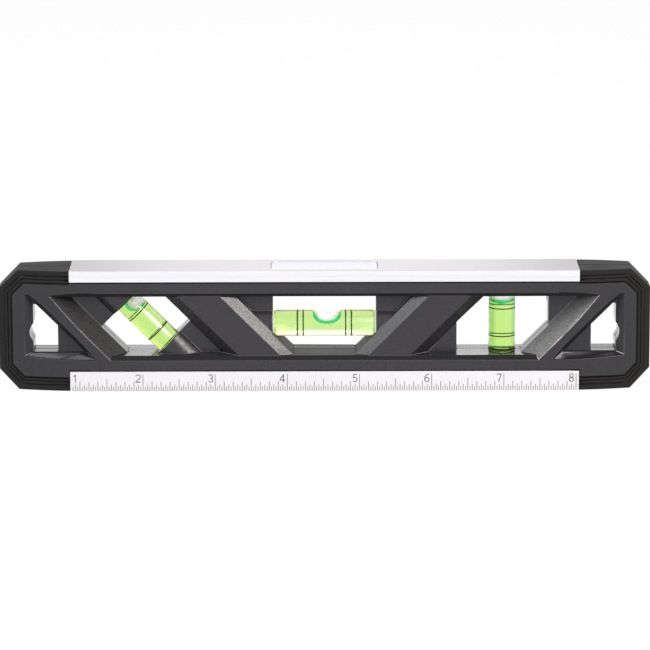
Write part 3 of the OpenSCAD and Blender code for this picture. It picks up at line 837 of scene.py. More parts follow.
def pocket_floor(normal, corner):
    """Turns the normals at the corners of the end pockets' floors, as if these were slightly hollow."""
    if abs(corner.x) < POCKET_FROM or normal.z < 0.7 or abs(normal.y) < 0.2 or corner.z > POCKET_TOP:
        return normal
    ahead = math.copysign(FLOOR_AHEAD, normal.y)
    if corner.x < 0:
        aside = -FLOOR_ASIDE if corner.x < -LEFT_FLOOR_TURN else LEFT_FLOOR_ASIDE
        return Vector((aside, ahead, FLOOR_UP)).normalized()
    return Vector((FLOOR_ASIDE, ahead, FLOOR_UP)) if corner.x < RIGHT_FLOOR_TURN else normal


def soft_rim(edge):
    """How much wider than the others an edge is rounded: those under the end pockets' struts are softer."""
    middle = (edge.verts[0].co + edge.verts[1].co) / 2
    if abs(middle.x) < POCKET_FROM or not edge.is_convex:
        return 1.0
    slope, front = sorted((face.normal for face in edge.link_faces), key=lambda normal: abs(normal.y))
    outwards = math.copysign(slope.x, slope.x * middle.x)
    under = slope.z < -0.3 and outwards > 0.3 and abs(slope.y) > 0.1 and abs(front.y) > 0.9
    full = min(1.0, max(0.0, (middle.z - SOFT_FROM) / SOFT_TAPER))
    return 1.0 + (SOFT_RIM - 1.0) * full if under else 1.0


def in_shade(face):
    """Tells the undersides and the straight slopes of the sills, which get a darker, matt copy of the plastic
    as painted shade.

    In the end pockets that starts where an edge begins to turn under.
    """
    if face.normal.z < (TURNED_UNDER if abs(face.center.x) > POCKET_FROM else UNDERSIDE):
        return True
    sill = abs(face.normal.x) < 0.25 and 0.5 < abs(face.normal.y) < 0.86 and face.normal.z > 0.4
    return sill and face.center.z < POCKET_TOP


class LEVEL_OT_shells(bpy.types.Operator):
    """Moulds the two half shells with rounded edges"""

    bl_idname = "torpedo_level.shells"
    bl_label = "Shells"

    def execute(self, context):
        settings = context.scene.torpedo_level.shells
        finish = shell_finish(settings)
        # Painted shade: a far darker, matt copy of the plastic for the undersides and the sill slopes.
        shaded = moulded_finish(
            "shaded_plastic", settings.shaded, settings.shaded, 0.6,
            settings.grain, settings.grain_depth, wear=0.0, specular=0.3,
        )
        around = ("top_rail", "bottom_rail", "left_end_cap", "right_end_cap", "ruler_strip")
        for node, other in (("front_shell", "rear_shell"), ("rear_shell", "front_shell")):
            piece = rounded_piece(
                node + "_moulding", cad_copy(node), settings.edge, (other, *around),
                dished=pocket_floor, widen=soft_rim)
            piece.data.materials.append(finish)
            piece.data.materials.append(shaded)
            # Faces in shade take the darker copy, as painted shade.
            for face in piece.data.polygons:
                face.material_index = int(in_shade(face))
            settle(piece, BODY, "shell_plastic", node)
        return {"FINISHED"}


class LEVEL_OT_rails(bpy.types.Operator):
    """Finishes the aluminium rails and the magnet in the lower edge"""

    bl_idname = "torpedo_level.rails"
    bl_label = "Rails and magnet"

    def execute(self, context):
        settings = context.scene.torpedo_level.rails
        metal = metal_finish(settings)
        for node in ("top_rail", "bottom_rail"):
            piece = rounded_piece(node + "_extrusion", cad_copy(node), settings.edge)
            settle(piece, BODY, "rail_aluminium", node, finishes=(metal,))
        bonded = moulded_finish(
            "bonded_magnet", settings.magnet, (0.08, 0.078, 0.075), 0.62,
            0.25 * MM, 0.01 * MM, wear=0.4, specular=0.35,
        )
        magnet = rounded_piece("magnet_bar", cad_copy("magnet_strip"), settings.edge)
        settle(magnet, BODY, "magnet", "magnet_strip", finishes=(bonded,))
        return {"FINISHED"}


class LEVEL_OT_end_caps(bpy.types.Operator):
    """Finishes the grooved rubber end caps"""

    bl_idname = "torpedo_level.end_caps"
    bl_label = "End caps"

    def execute(self, context):
        settings = context.scene.torpedo_level.caps
        finish = moulded_finish(
            "soft_rubber", settings.rubber, settings.scuffed, settings.roughness,
            settings.grain, settings.grain_depth, wear=0.4, specular=0.2,
        )
        for side in ("left", "right"):
            node = side + "_end_cap"
            piece = rounded_piece(
                side + "_cap_rubber", cad_copy(node), settings.edge,
                ("front_shell", "rear_shell", "top_rail", "bottom_rail", "ruler_strip"))
            settle(piece, BODY, "cap_rubber", node, finishes=(finish,))
        return {"FINISHED"}


class LEVEL_OT_top_lens(bpy.types.Operator):
    """Finishes the milky lens over the level vial"""

    bl_idname = "torpedo_level.top_lens"
    bl_label = "Top lens"

    def execute(self, context):
        settings = context.scene.torpedo_level.top_lens
        finish = Finish("milky_acrylic", IOR=1.49, Transmission_Weight=settings.clear)
        surface = finish.group(grain_group(), Vector=finish.place(), Size=0.6 * MM)
        clouded = toned(settings.acrylic, 0.96)
        finish.feed("Base Color", finish.mottled(surface["Patches"], clouded, settings.acrylic))
        finish.feed("Roughness", finish.varied(surface["Patches"], settings.roughness, 0.2))
        piece = rounded_piece("top_lens_insert", cad_copy("top_lens"), settings.edge)
        settle(piece, BODY, "lens_acrylic", "top_lens", finishes=(finish.material,))
        return {"FINISHED"}


TICKS_PER_INCH = 32
TICK_RANKS = ((2, "Sixteenth height"), (4, "Eighth height"), (16, "Half height"), (32, "Inch height"))


def tick_tree():
    """Geometry nodes for a row of ruler ticks along X, each a thin upright bar."""
    tree = bpy.data.node_groups.new("ruler_ticks", "GeometryNodeTree")
    face = tree.interface
    face.new_socket("Geometry", in_out="OUTPUT", socket_type="NodeSocketGeometry")
    for name, kind in (
        ("Count", "NodeSocketInt"), ("Start", "NodeSocketVector"), ("Pitch", "NodeSocketFloat"),
        ("Width", "NodeSocketFloat"), ("Thickness", "NodeSocketFloat"), ("Fine height", "NodeSocketFloat"),
        ("Sixteenth height", "NodeSocketFloat"), ("Eighth height", "NodeSocketFloat"),
        ("Half height", "NodeSocketFloat"), ("Inch height", "NodeSocketFloat"), ("Ink", "NodeSocketMaterial"),
    ):
        face.new_socket(name, in_out="INPUT", socket_type=kind)
    given = tree.nodes.new("NodeGroupInput").outputs
    link = tree.links.new

    step = tree.nodes.new("ShaderNodeCombineXYZ")
    link(given["Pitch"], step.inputs["X"])
    row = tree.nodes.new("GeometryNodeMeshLine")
    link(given["Count"], row.inputs["Count"])
    link(given["Start"], row.inputs["Start Location"])
    link(step.outputs[0], row.inputs["Offset"])

    number = math_node(tree, "ADD", tree.nodes.new("GeometryNodeInputIndex").outputs[0], 1.0)
    height = given["Fine height"]
    for period, rank in TICK_RANKS:
        on_rank = math_node(tree, "COMPARE", math_node(tree, "MODULO", number, float(period)), 0.0, 0.5)
        pick = tree.nodes.new("GeometryNodeSwitch")
        pick.input_type = "FLOAT"
        link(on_rank, pick.inputs["Switch"])
        link(height, pick.inputs["False"])
        link(given[rank], pick.inputs["True"])
        height = pick.outputs[0]

    size = tree.nodes.new("ShaderNodeCombineXYZ")
    link(given["Width"], size.inputs["X"])
    link(given["Thickness"], size.inputs["Y"])
    size.inputs["Z"].default_value = 1.0
    bar = tree.nodes.new("GeometryNodeMeshCube")
    link(size.outputs[0], bar.inputs["Size"])
    stand = tree.nodes.new("GeometryNodeTransform")
    stand.inputs["Translation"].default_value = (0.0, 0.0, 0.5)
    link(bar.outputs["Mesh"], stand.inputs["Geometry"])

    tall = tree.nodes.new("ShaderNodeCombineXYZ")
    tall.inputs["X"].default_value = tall.inputs["Y"].default_value = 1.0
    link(height, tall.inputs["Z"])
    bars = tree.nodes.new("GeometryNodeInstanceOnPoints")
    link(row.outputs["Mesh"], bars.inputs["Points"])
    link(stand.outputs["Geometry"], bars.inputs["Instance"])
    link(tall.outputs[0], bars.inputs["Scale"])
    whole = tree.nodes.new("GeometryNodeRealizeInstances")
    link(bars.outputs["Instances"], whole.inputs["Geometry"])
    inked = tree.nodes.new("GeometryNodeSetMaterial")
    link(whole.outputs["Geometry"], inked.inputs["Geometry"])
    link(given["Ink"], inked.inputs["Material"])
    link(inked.outputs["Geometry"], tree.nodes.new("NodeGroupOutput").inputs["Geometry"])
    return tree


def ticks_mesh(values):
    """The ticks as a plain mesh. values are the tree's inputs by name."""
    tree = tick_tree()
    source = add_object("ruler_ticks_source", bpy.data.meshes.new("ruler_ticks_source"))
    modifier = source.modifiers.new("ticks", "NODES")
    modifier.node_group = tree
    for socket in tree.interface.items_tree:
        if socket.in_out == "INPUT":
            modifier[socket.identifier] = values[socket.name]
    return baked_mesh(source, "ruler_ticks")


def arc(x, z, wide, tall, start, end, steps=16):
    """Points along part of an ellipse, from one angle to another in degrees."""
    angles = [math.radians(start + (end - start) * i / steps) for i in range(steps + 1)]
    return [(x + wide * math.cos(a), z + tall * math.sin(a)) for a in angles]


# Pen strokes of the numerals, one unit high.
NUMERALS = (
    [[(0.10, 0.73), (0.34, 0.96)], [(0.34, 0.99), (0.34, 0.0)]],
    [arc(0.30, 0.70, 0.26, 0.25, 165, -35) + [(0.04, 0.05)], [(0.0, 0.05), (0.60, 0.05)]],
    [arc(0.28, 0.73, 0.22, 0.22, 150, -90), arc(0.28, 0.28, 0.26, 0.23, 90, -155)],
    [[(0.45, 0.0), (0.45, 0.97)], [(0.45, 0.95), (0.03, 0.28)], [(0.0, 0.28), (0.62, 0.28)]],
    [[(0.54, 0.95), (0.14, 0.95)], [(0.16, 0.97), (0.10, 0.47)], arc(0.29, 0.32, 0.26, 0.27, 140, -150)],
    [arc(0.31, 0.30, 0.25, 0.25, 0, 360), arc(0.46, 0.42, 0.40, 0.53, 188, 72)],
    [[(0.03, 0.95), (0.60, 0.95)], [(0.58, 0.97), (0.24, 0.0)]],
    [arc(0.31, 0.73, 0.21, 0.22, 0, 360), arc(0.31, 0.27, 0.26, 0.23, 0, 360)],
)


def draw_stroke(shape, points, half, corner, scale, thickness):
    """Adds a pen stroke as a closed flat ribbon in the XZ plane. corner is where the numeral starts."""
    flat = [Vector(p) for p in points]
    ring = (flat[0] - flat[-1]).length < 1e-6
    if ring:
        flat.pop()
    loops = []
    for i, point in enumerate(flat):
        before = flat[i - 1] if ring or i else point
        after = flat[(i + 1) % len(flat)] if ring or i + 1 < len(flat) else point
        way = (after - before).normalized()
        out = Vector((-way.y, way.x)) * half
        loops.append([
            shape.verts.new(corner + Vector((
                (point.x + k * out.x) * scale, y, (point.y + k * out.y) * scale)))
            for k, y in ((1, -thickness / 2), (1, thickness / 2), (-1, thickness / 2), (-1, -thickness / 2))
        ])
    for here, there in zip(loops, loops[1:] + (loops[:1] if ring else [])):
        for k in range(4):
            shape.faces.new((here[k - 1], here[k], there[k], there[k - 1]))
    if not ring:
        shape.faces.new(loops[0])
        shape.faces.new(loops[-1])


def ruler_paint(settings):
    """White paint that has aged a little in patches."""
    paint = Finish("ruler_paint", Specular_IOR_Level=0.45)
    surface = paint.group(grain_group(), Vector=paint.place(), Size=0.35 * MM)
    paint.feed("Base Color", paint.mottled(surface["Patches"], toned(settings.paint, 0.965), settings.paint))
    paint.feed("Roughness", spread(paint.tree, surface["Patches"], 0.32, 0.42))
    paint.bump(surface["Height"], 0.003 * MM)
    return paint.material


def ruler_ink(settings):
    """Printing ink that is thinner in spots."""
    ink = Finish("ruler_ink", Specular_IOR_Level=0.3)
    spots = ink.group(grain_group(), Vector=ink.place(), Size=0.12 * MM)
    ink.feed("Base Color", ink.mottled(spots["Height"], settings.ink, toned(settings.ink, 1.35)))
    ink.feed("Roughness", spread(ink.tree, spots["Patches"], 0.45, 0.6))
    return ink.material


def marks_mesh(settings, ink):
    """The ticks and numerals on the face of the strip, as one mesh."""
    low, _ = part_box("ruler_strip")
    zero = low.x + settings.shift
    face_y = low.y + settings.sink - settings.ink_t / 2
    pitch = INCH / TICKS_PER_INCH
    ticks = ticks_mesh({
        "Count": (len(NUMERALS) - 1) * TICKS_PER_INCH, "Start": (zero + pitch, face_y, low.z), "Pitch": pitch,
        "Width": settings.tick_w, "Thickness": settings.ink_t, "Fine height": settings.fine_h,
        "Sixteenth height": settings.sixteenth_h, "Eighth height": settings.eighth_h,
        "Half height": settings.half_h, "Inch height": settings.inch_h, "Ink": ink,
    })
    shape = bmesh.new()
    shape.from_mesh(ticks)
    for inch, strokes in enumerate(NUMERALS):
        wide = max(x for stroke in strokes for x, _ in stroke) * settings.numeral_h
        left = zero + inch * INCH - settings.numeral_gap - wide if inch else low.x + settings.numeral_gap
        corner = Vector((left, face_y, low.z + settings.inch_h - settings.numeral_h))
        for stroke in strokes:
            draw_stroke(shape, stroke, settings.pen, corner, settings.numeral_h, settings.ink_t)
    bmesh.ops.recalc_face_normals(shape, faces=shape.faces)
    marks = bpy.data.meshes.new("ruler_marks")
    shape.to_mesh(marks)
    shape.free()
    marks.materials.clear()
    return marks


class LEVEL_OT_ruler(bpy.types.Operator):
    """Makes the white ruler strip with its ticks and numerals"""

    bl_idname = "torpedo_level.ruler"
    bl_label = "Ruler"

    def execute(self, context):
        settings = context.scene.torpedo_level.ruler
        shape = cad_copy("ruler_strip")
        low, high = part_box("ruler_strip")
        for vert in shape.verts:
            if vert.co.y < (low.y + high.y) / 2:
                vert.co.y += settings.sink
        strip = rounded_piece("ruler_strip_plate", shape, settings.edge)
        settle(strip, BODY, "ruler_print", "ruler_strip", finishes=(ruler_paint(settings),))
        ink = ruler_ink(settings)
        settle(add_object("ruler_marks", marks_mesh(settings, ink)), BODY, "ruler_print", finishes=(ink,))
        return {"FINISHED"}


def lathe(name, profile, axis, centre, segments=96):
    """A closed turned shape. The profile lists (distance along the axis, radius) and ends on the axis."""
    shape = bmesh.new()
    turn = axis.to_track_quat("Z", "Y").to_matrix().to_4x4()
    rings = []
    for along, radius in profile:
        if radius == 0.0:
            rings.append([shape.verts.new((0, 0, along))])
            continue
        angles = [2 * math.pi * i / segments for i in range(segments)]
        rings.append([shape.verts.new((radius * math.cos(a), radius * math.sin(a), along)) for a in angles])
    for lower, upper in zip(rings, rings[1:]):
        for i in range(segments):
            j = (i + 1) % segments
            corners = [
                lower[i % len(lower)], lower[j % len(lower)],
                upper[j % len(upper)], upper[i % len(upper)],
            ]
            shape.faces.new(list(dict.fromkeys(corners)))
    bmesh.ops.recalc_face_normals(shape, faces=shape.faces)
    mesh = bpy.data.meshes.new(name)
    shape.to_mesh(mesh)
    shape.free()
    mesh.transform(Matrix.Translation(centre) @ turn)
    mesh.shade_smooth()
    mesh.set_sharp_from_angle(angle=SHARP_ANGLE)
    return mesh


def vial_extent(node, axis):
    """Middle, half length along the axis and radius of a turned CAD node."""
    low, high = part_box(node)
    centre = (low + high) / 2
    reach = [(v.co - centre).dot(axis) for v in cad_node(node).data.vertices]
    return centre, max(reach), (high.y - low.y) / 2


def tube_mesh(name, node, axis, relief, lip=0.4 * MM, bulge=0.12 * MM):
    """A clear tube with softened ends, solid because the liquid bends light as the tube does."""
    centre, half, radius = vial_extent(node, axis)
    radius -= relief
    ends = [(half, 0.0), (half, radius - lip), (half - bulge, radius - bulge), (half - lip, radius)]
    profile = ends + [(-along, r) for along, r in reversed(ends)]
    return lathe(name, profile, axis, centre)


def liquid_mesh(name, node, axis, inset, lift, barrel=0.1 * MM):
    """The liquid as a whole barrel, so that the bubble may lie anywhere in it.

    lift is how much higher than its tube it lies, and barrel how much narrower its ends are.
    """
    centre, half, widest = vial_extent(node, axis)
    half -= inset
    widest -= 1.5 * lift
    narrowest = widest - barrel
    steps = [i / 6 for i in range(-6, 7)]
    wall = [(half * t, narrowest + (widest - narrowest) * (1 - t * t)) for t in steps]
    return lathe(name, [(-half, 0.0), *wall, (half, 0.0)], axis, centre + Vector((0, 0, lift)))


def ring_places(node, axis, apart=1.0 * MM):
    """The middle of a vial's rings, and how far along the vial each ring lies from it."""
    centre, _, _ = vial_extent(node, axis)
    along = sorted((v.co - centre).dot(axis) for v in cad_node(node).data.vertices)
    places = [[along[0]]]
    for value in along[1:]:
        if value - places[-1][-1] > apart:
            places.append([])
        places[-1].append(value)
    return centre, [(group[0] + group[-1]) / 2 for group in places]


def rings_mesh(name, node, axis, settings, wide, foot, segments=96):
    """Thin printed bands round the tube. Their inner faces have material 1.

    foot is how far below the lowest ring a wider band seals the tube into the sill, or 0.
    """
    centre, places = ring_places(node, axis)
    bands = [(place, wide) for place in places]
    if foot:
        bands.append((places[0] - foot, settings.seal_w))
    _, _, outer = vial_extent(node, axis)
    shape = bmesh.new()
    corners = [(-0.5, -1), (0.5, -1), (0.5, 0), (-0.5, 0)]
    for place, width in bands:
        loops = []
        for i in range(segments):
            a = 2 * math.pi * i / segments
            loops.append([
                shape.verts.new((
                    (outer + out * settings.ring_t) * math.cos(a),
                    (outer + out * settings.ring_t) * math.sin(a),
                    place + across * width))
                for across, out in corners
            ])
        for here, there in zip(loops, loops[1:] + loops[:1]):
            for k in range(4):
                face = shape.faces.new((here[k], here[k - 3], there[k - 3], there[k]))
                face.material_index = 1 if k == 0 else 0
                face.smooth = k in (0, 2)
    bmesh.ops.recalc_face_normals(shape, faces=shape.faces)
    mesh = bpy.data.meshes.new(name)
    shape.to_mesh(mesh)
    shape.free()
    mesh.transform(Matrix.Translation(centre) @ axis.to_track_quat("Z", "Y").to_matrix().to_4x4())
    return mesh


def bubble_mesh(name, node, axis, tube_centre, shoulder):
    """The CAD bubble with smooth faces, and how far each point lies from the ball's edge.

    shoulder makes the lower end of a lying bubble wider, as the liquid's surface draws it.
    """
    shape = cad_copy(node)
    bmesh.ops.subdivide_edges(shape, edges=shape.edges, cuts=2, use_grid_fill=True)
    mesh = bpy.data.meshes.new(name)
    shape.to_mesh(mesh)
    shape.free()
    mesh.shade_smooth()
    mesh.set_sharp_from_angle(angle=SHARP_ANGLE)
    centre, radius = bubble_ball(mesh, axis, tube_centre)
    depth = mesh.attributes.new("depth", "FLOAT", "POINT")
    for vert in mesh.vertices:
        away = vert.co - centre
        facing = away.normalized().dot(vert.normal)
        depth.data[vert.index].value = (radius - away.length) / math.sqrt(max(1.0 - facing * facing, 0.02))
    top = max(v.co.z for v in mesh.vertices)
    tall = top - min(v.co.z for v in mesh.vertices)
    for vert in mesh.vertices:
        lower = max(0.0, (top - vert.co.z) / tall)
        vert.co += axis * (vert.co - centre).dot(axis) * shoulder * lower ** 1.5
    return mesh


def bubble_ball(mesh, axis, tube_centre, off_bore=0.05 * MM, off_end=0.02 * MM):
    """Centre and radius of the ball that rounds a bubble, from the points that lie off the bore."""
    points = [v.co for v in mesh.vertices]
    radial = [((p - tube_centre) - axis * (p - tube_centre).dot(axis)).length for p in points]
    ends = [(p - tube_centre).dot(axis) for p in points]
    bore = max(radial) - off_bore
    flat = max(ends) - off_end
    free = [p - tube_centre for p, r, e in zip(points, radial, ends) if r < bore and e < flat]
    rows = [(2 * p.x / MM, 2 * p.y / MM, 2 * p.z / MM, 1.0, p.length_squared / MM ** 2) for p in free]
    normal = Matrix([[sum(r[i] * r[j] for r in rows) for j in range(4)] for i in range(4)])
    right = Vector([sum(r[i] * r[4] for r in rows) for i in range(4)])
    x, y, z, k = normal.inverted() @ right
    return tube_centre + Vector((x, y, z)) * MM, math.sqrt(k + x * x + y * y + z * z) * MM


def bubble_finish(name, settings, rim, open_ball):
    """A bubble that glows in painted colours: white against the glass, darker just inside its rim as painted
    shade, and green at the rim where its ball meets the liquid, as painted light.

    open_ball tells that the ball itself shows, so that it is painted pale where it looks forwards.
    """
    # Painted light: the bubble glows in its own painted colours.
    finish = Finish(name, Roughness=0.1, Specular_IOR_Level=0.3, Emission_Strength=0.5)
    tree = finish.tree
    depth = finish.attribute("depth")
    inner = ramp(tree, depth, rim, rim + 1.5 * MM)
    outer = ramp(tree, depth, rim * 0.8, rim * 0.8 + 0.12 * MM)
    if open_ball:
        facing = math_node(tree, "ABSOLUTE", finish.split(finish.normal())["Y"])
        on_ball = math_node(tree, "LESS_THAN", depth, 0.03 * MM)
        ahead = math_node(tree, "MULTIPLY", on_ball, ramp(tree, facing, 0.62, 0.82))
        outer = math_node(tree, "MAXIMUM", outer, ahead)
    shade = finish.blend(outer, settings.rim_painted_green, finish.blend(inner, settings.bubble_inner_shade, settings.air))
    finish.feed("Base Color", shade)
    finish.feed("Emission Color", shade)
    return finish.material


def acrylic_finish(settings):
    """Clear acrylic that glows at some edges as painted light. A standing tube has darker green flanks as
    painted shade.
    """
    acrylic = Finish("clear_acrylic", IOR=1.49, Transmission_Weight=1.0)
    tree = acrylic.tree
    handled = acrylic.group(grain_group(), Vector=acrylic.place(), Size=0.5 * MM)
    acrylic.feed("Roughness", spread(tree, handled["Patches"], 0.1, 0.13))
    # Painted light: how strongly the tube's edges glow.
    acrylic.set(Emission_Strength=settings.painted_edge_glow, Coat_Roughness=0.3, Coat_IOR=1.7)
    normal = acrylic.normal()
    side = acrylic.split(normal)

    def towards(direction, start, end):
        """How far the surface looks in a direction, from 0 at start to 1 at end."""
        node = tree.nodes.new("ShaderNodeVectorMath")
        node.operation = "DOT_PRODUCT"
        tree.links.new(normal, node.inputs[0])
        node.inputs[1].default_value = direction
        return ramp(tree, node.outputs["Value"], start, end)

    acrylic.feed("Coat Weight", towards((0.33, -0.87, 0.36), 0.9, 0.97))
    lying = ramp(tree, math_node(tree, "ABSOLUTE", side["Z"]), 0.0, 2 / 3)
    standing = math_node(tree, "SUBTRACT", 1.0, lying)
    # Painted shade: the flanks of a standing tube take a darker green.
    painted_flank_shade = math_node(tree, "ABSOLUTE", math_node(tree, "SUBTRACT", side["X"], 0.12))
    painted_flank_shade = math_node(tree, "MULTIPLY", ramp(tree, painted_flank_shade, 0.5, 0.86), standing)
    acrylic.feed("Base Color", acrylic.blend(painted_flank_shade, settings.acrylic, settings.painted_flank_shade))

    # Painted light: the tube glows in the edge colour at grazing edges, where a lying tube looks down and to
    # the left, and where it looks straight up, but not from inside.
    grazing = math_node(tree, "POWER", tree.nodes.new("ShaderNodeLayerWeight").outputs["Facing"], 3.0)
    below = towards((-0.5, 0.0, -0.866), 0.25, 0.85)
    painted_glow_mask = math_node(tree, "MULTIPLY", math_node(tree, "ADD", grazing, below), lying)
    painted_glow_mask = math_node(tree, "ADD", painted_glow_mask, towards((0.0, 0.0, 1.0), 0.9, 1.0))
    inside = tree.nodes.new("ShaderNodeNewGeometry").outputs["Backfacing"]
    painted_glow_mask = math_node(tree, "MULTIPLY", painted_glow_mask, math_node(tree, "SUBTRACT", 1.0, inside), clamp=True)
    acrylic.feed("Emission Color", acrylic.blend(painted_glow_mask, (0.0, 0.0, 0.0), settings.edge))
    return acrylic.material


def liquid_finish(settings):
    """Dyed liquid, which absorbs light and glows: the dye's fluorescence, given as painted light that shines
    without lamps. The tube round it bends the light.
    """
    liquid = Finish(
        "dyed_liquid", IOR=1.0, Transmission_Weight=1.0, Roughness=0.0, Base_Color=(1.0, 1.0, 1.0))
    tree = liquid.tree
    absorb = tree.nodes.new("ShaderNodeVolumeAbsorption")
    absorb.inputs["Color"].default_value = (*settings.dye, 1.0)
    absorb.inputs["Density"].default_value = settings.strength
    # Painted light standing in for the dye's fluorescence, shining without lamps.
    glow = tree.nodes.new("ShaderNodeEmission")
    glow.inputs["Color"].default_value = (*settings.glow, 1.0)
    glow.inputs["Strength"].default_value = settings.glow_strength
    both = tree.nodes.new("ShaderNodeAddShader")
    tree.links.new(absorb.outputs["Volume"], both.inputs[0])
    tree.links.new(glow.outputs["Emission"], both.inputs[1])
    tree.links.new(both.outputs[0], tree.nodes["Material Output"].inputs["Volume"])
    return liquid.material


def plug_finish(settings):
    """Cloudy plug plastic that glows in its own colour as painted light, in the dye's colour where the level
    vial's liquid lies round it.
    """
    plug = Finish("plug_plastic", Specular_IOR_Level=0.4, Emission_Strength=0.5)
    tree = plug.tree
    cloudy = plug.group(grain_group(), Vector=plug.place(), Size=0.3 * MM)
    out = math_node(tree, "ABSOLUTE", plug.split(plug.place())["X"])
    milky = plug.mottled(cloudy["Patches"], toned(settings.plug, 0.93), settings.plug)
    shade = plug.blend(math_node(tree, "LESS_THAN", out, settings.dyed_to), milky, settings.dyed)
    plug.feed("Base Color", shade)
    # Painted light: the plugs glow in their own colour.
    plug.feed("Emission Color", shade)
    plug.feed("Roughness", spread(tree, cloudy["Patches"], 0.35, 0.5))
    return plug.material


def ring_finish(name, ink):
    """A ring's print, thinner in spots."""
    ring = Finish(name, Specular_IOR_Level=0.3)
    worn = ring.group(grain_group(), Vector=ring.place(), Size=0.1 * MM)
    ring.feed("Base Color", ring.mottled(worn["Height"], ink, toned(ink, 1.6)))
    ring.feed("Roughness", spread(ring.tree, worn["Patches"], 0.4, 0.55))
    return ring.material


class LEVEL_OT_vials(bpy.types.Operator):
    """Makes the three vials: tubes, liquid, rings and bubbles, with finished plugs"""

    bl_idname = "torpedo_level.vials"
    bl_label = "Vials"

    def execute(self, context):
        settings = context.scene.torpedo_level.vials
        acrylic = acrylic_finish(settings)
        dyed = liquid_finish(settings)
        plastic = plug_finish(settings)
        # The rings' inner faces get a painted green for the light through the liquid.
        print_sides = (
            ring_finish("ring_print", settings.ring), ring_finish("ring_print_back", settings.ring_back_painted_tint))
        # The tubes are a little thinner than the rings' inner faces, so that no two surfaces share a place.
        relief = settings.ring_t * 1.2
        for vial, axis in ALONG.items():
            node = vial + "_vial_"
            lying = vial == "level"
            tube = add_object(vial + "_tube_clear", tube_mesh(vial + "_tube", node + "tube", axis, relief))
            settle(tube, BODY, "vial_acrylic", node + "tube", finishes=(acrylic,))

            lift = settings.clear_below if lying else 0.0
            liquid = add_object(
                vial + "_liquid_dyed",
                liquid_mesh(vial + "_liquid", node + "liquid", axis, settings.inset, lift))
            settle(liquid, BODY, "vial_liquid", node + "liquid", finishes=(dyed,))

            wide = settings.ring_w * (1.0 if lying else settings.bold)
            foot = settings.foot if vial == "plumb" else 0.0
            rings = add_object(
                vial + "_rings_printed",
                rings_mesh(vial + "_rings", node + "rings", axis, settings, wide, foot))
            settle(rings, BODY, "ring_black", node + "rings", finishes=print_sides)

            centre, _, _ = vial_extent(node + "tube", axis)
            shoulder = settings.shoulder if lying else 0.0
            bubble = add_object(
                vial + "_bubble_air", bubble_mesh(vial + "_bubble", node + "bubble", axis, centre, shoulder))
            open_ball = vial == "angle"
            rim = settings.angle_rim if open_ball else settings.rim
            air = bubble_finish(vial + "_bubble_air", settings, rim, open_ball)
            settle(bubble, vial + "_bubble", "vial_bubble", node + "bubble", finishes=(air,))

            plugs = cad_node(node + "plugs")
            plugs.data.materials.clear()
            plugs.data.materials.append(plastic)
        return {"FINISHED"}


def softbox(name, direction, size, power, tint):
    """A square area light that looks at the level from a direction."""
    lamp = bpy.data.lights.new(name, "AREA")
    lamp.shape = "SQUARE"
    lamp.size = size
    lamp.energy = power
    lamp.color = tint
    light = bpy.data.objects.new(name, lamp)
    bpy.context.scene.collection.objects.link(light)
    way = Vector(direction).normalized()
    light.location = (CAD_BOX[0] + CAD_BOX[1]) / 2 + way * LAMP_DISTANCE
    light.rotation_euler = way.to_track_quat("Z", "Y").to_euler()
    light.visible_camera = False


def seen_rays(tree):
    """1 for rays that the camera sees, straight, in a reflection or through glass."""
    path = tree.nodes.new("ShaderNodeLightPath")
    seen = math_node(tree, "ADD", path.outputs["Is Camera Ray"], path.outputs["Is Glossy Ray"])
    return math_node(tree, "ADD", seen, path.outputs["Is Transmission Ray"], clamp=True)


def pale_floor(settings):
    """The floor, a hair below the level. The camera sees it as almost white."""
    shape = bmesh.new()
    bmesh.ops.create_grid(shape, x_segments=8, y_segments=8, size=FLOOR_HALF)
    mesh = bpy.data.meshes.new("floor")
    shape.to_mesh(mesh)
    shape.free()
    mesh.transform(Matrix.Translation((0, 0, -FLOOR_DROP)))
    finish = Finish("pale_floor", Roughness=0.7, Base_Color=settings.floor, Specular_IOR_Level=0.2)
    tree = finish.tree
    bright = tree.nodes.new("ShaderNodeEmission")
    bright.inputs["Strength"].default_value = FLOOR_BRIGHT
    fade = tree.nodes.new("ShaderNodeMixShader")
    tree.links.new(math_node(tree, "MULTIPLY", seen_rays(tree), FLOOR_EVEN), fade.inputs[0])
    tree.links.new(finish.shader.outputs[0], fade.inputs[1])
    tree.links.new(bright.outputs[0], fade.inputs[2])
    tree.links.new(fade.outputs[0], tree.nodes["Material Output"].inputs["Surface"])
    mesh.materials.append(finish.material)
    return add_object("floor", mesh)


def studio_world():
    """Even light all round, which the camera sees as white."""
    world = bpy.data.worlds.new("studio")
    world.use_nodes = True
    tree = world.node_tree
    ambient = tree.nodes["Background"]
    white = tree.nodes.new("ShaderNodeBackground")
    for light, tint, strength in (
        (ambient, AMBIENT_TINT, AMBIENT_STRENGTH), (white, (1.0, 1.0, 1.0, 1.0), 1.0),
    ):
        light.inputs["Color"].default_value = tint
        light.inputs["Strength"].default_value = strength
    pick = tree.nodes.new("ShaderNodeMixShader")
    tree.links.new(seen_rays(tree), pick.inputs[0])
    tree.links.new(ambient.outputs[0], pick.inputs[1])
    tree.links.new(white.outputs[0], pick.inputs[2])
    tree.links.new(pick.outputs[0], tree.nodes["World Output"].inputs["Surface"])
    return world


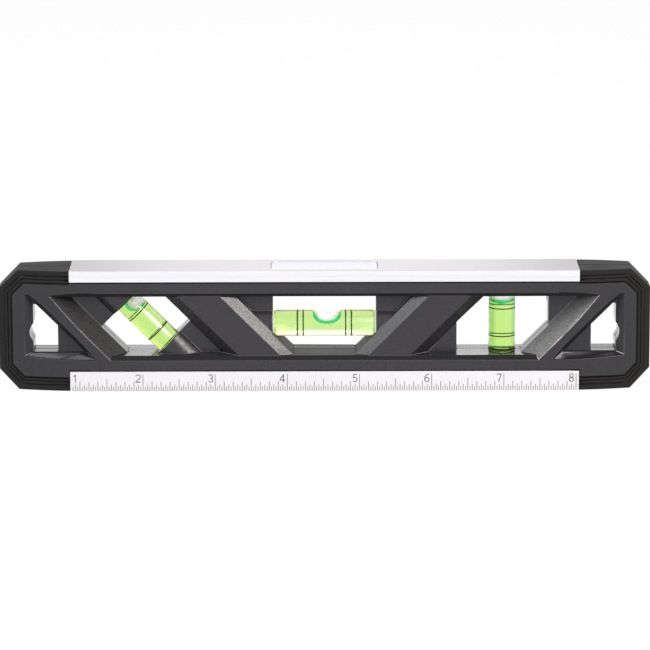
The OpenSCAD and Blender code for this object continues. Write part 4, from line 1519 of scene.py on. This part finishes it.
def studio_camera(settings):
    """The camera, in front of the level and a little above it."""
    camera = bpy.data.objects.new("camera", bpy.data.cameras.new("camera"))
    bpy.context.scene.collection.objects.link(camera)
    camera.data.sensor_width = 36.0
    camera.data.lens = settings.lens
    camera.data.clip_end = 20.0
    level = math.cos(settings.elevation)
    back = Vector((
        level * math.sin(settings.azimuth),
        -level * math.cos(settings.azimuth),
        math.sin(settings.elevation),
    ))
    target = (CAD_BOX[0] + CAD_BOX[1]) / 2 + Vector(settings.aim)
    camera.location = target + back * settings.distance
    turn = back.to_track_quat("Z", "Y") @ Quaternion((0, 0, 1), settings.roll)
    camera.rotation_euler = turn.to_euler()
    return camera


class LEVEL_OT_stage(bpy.types.Operator):
    """Sets the pale floor, the studio light and the camera"""

    bl_idname = "torpedo_level.stage"
    bl_label = "Stage"

    def execute(self, context):
        settings = context.scene.torpedo_level.stage
        context.scene.view_settings.view_transform = "Standard"
        pale_floor(settings)
        context.scene.world = studio_world()
        for name, lamp in LAMPS.items():
            softbox(name, *lamp)
        context.scene.camera = studio_camera(settings)
        return {"FINISHED"}


OPERATORS = (
    LEVEL_OT_shells, LEVEL_OT_rails, LEVEL_OT_end_caps, LEVEL_OT_top_lens,
    LEVEL_OT_ruler, LEVEL_OT_vials, LEVEL_OT_stage,
)


class LEVEL_PT_sidebar(bpy.types.Panel):
    """Lists the pieces of the torpedo level"""

    bl_idname = "LEVEL_PT_sidebar"
    bl_label = "Torpedo level"
    bl_space_type = "VIEW_3D"
    bl_region_type = "UI"
    bl_category = "Torpedo level"

    def draw(self, context):
        for operator in OPERATORS:
            self.layout.operator(operator.bl_idname)


CLASSES = (
    ShellSettings, RailSettings, CapSettings, LensSettings, RulerSettings, VialSettings, StageSettings,
    LevelSettings, *OPERATORS, LEVEL_PT_sidebar,
)


def register():
    """Adds the classes and the scene's settings."""
    for cls in CLASSES:
        bpy.utils.register_class(cls)
    bpy.types.Scene.torpedo_level = bpy.props.PointerProperty(type=LevelSettings)


def unregister():
    """Takes the scene's settings and the classes away again."""
    del bpy.types.Scene.torpedo_level
    for cls in reversed(CLASSES):
        bpy.utils.unregister_class(cls)


def main():
    """Registers the classes and builds every piece."""
    register()
    steps = bpy.ops.torpedo_level
    for step in (
        steps.shells, steps.rails, steps.end_caps, steps.top_lens, steps.ruler, steps.vials, steps.stage,
    ):
        step()


if __name__ == "__main__":
    main()
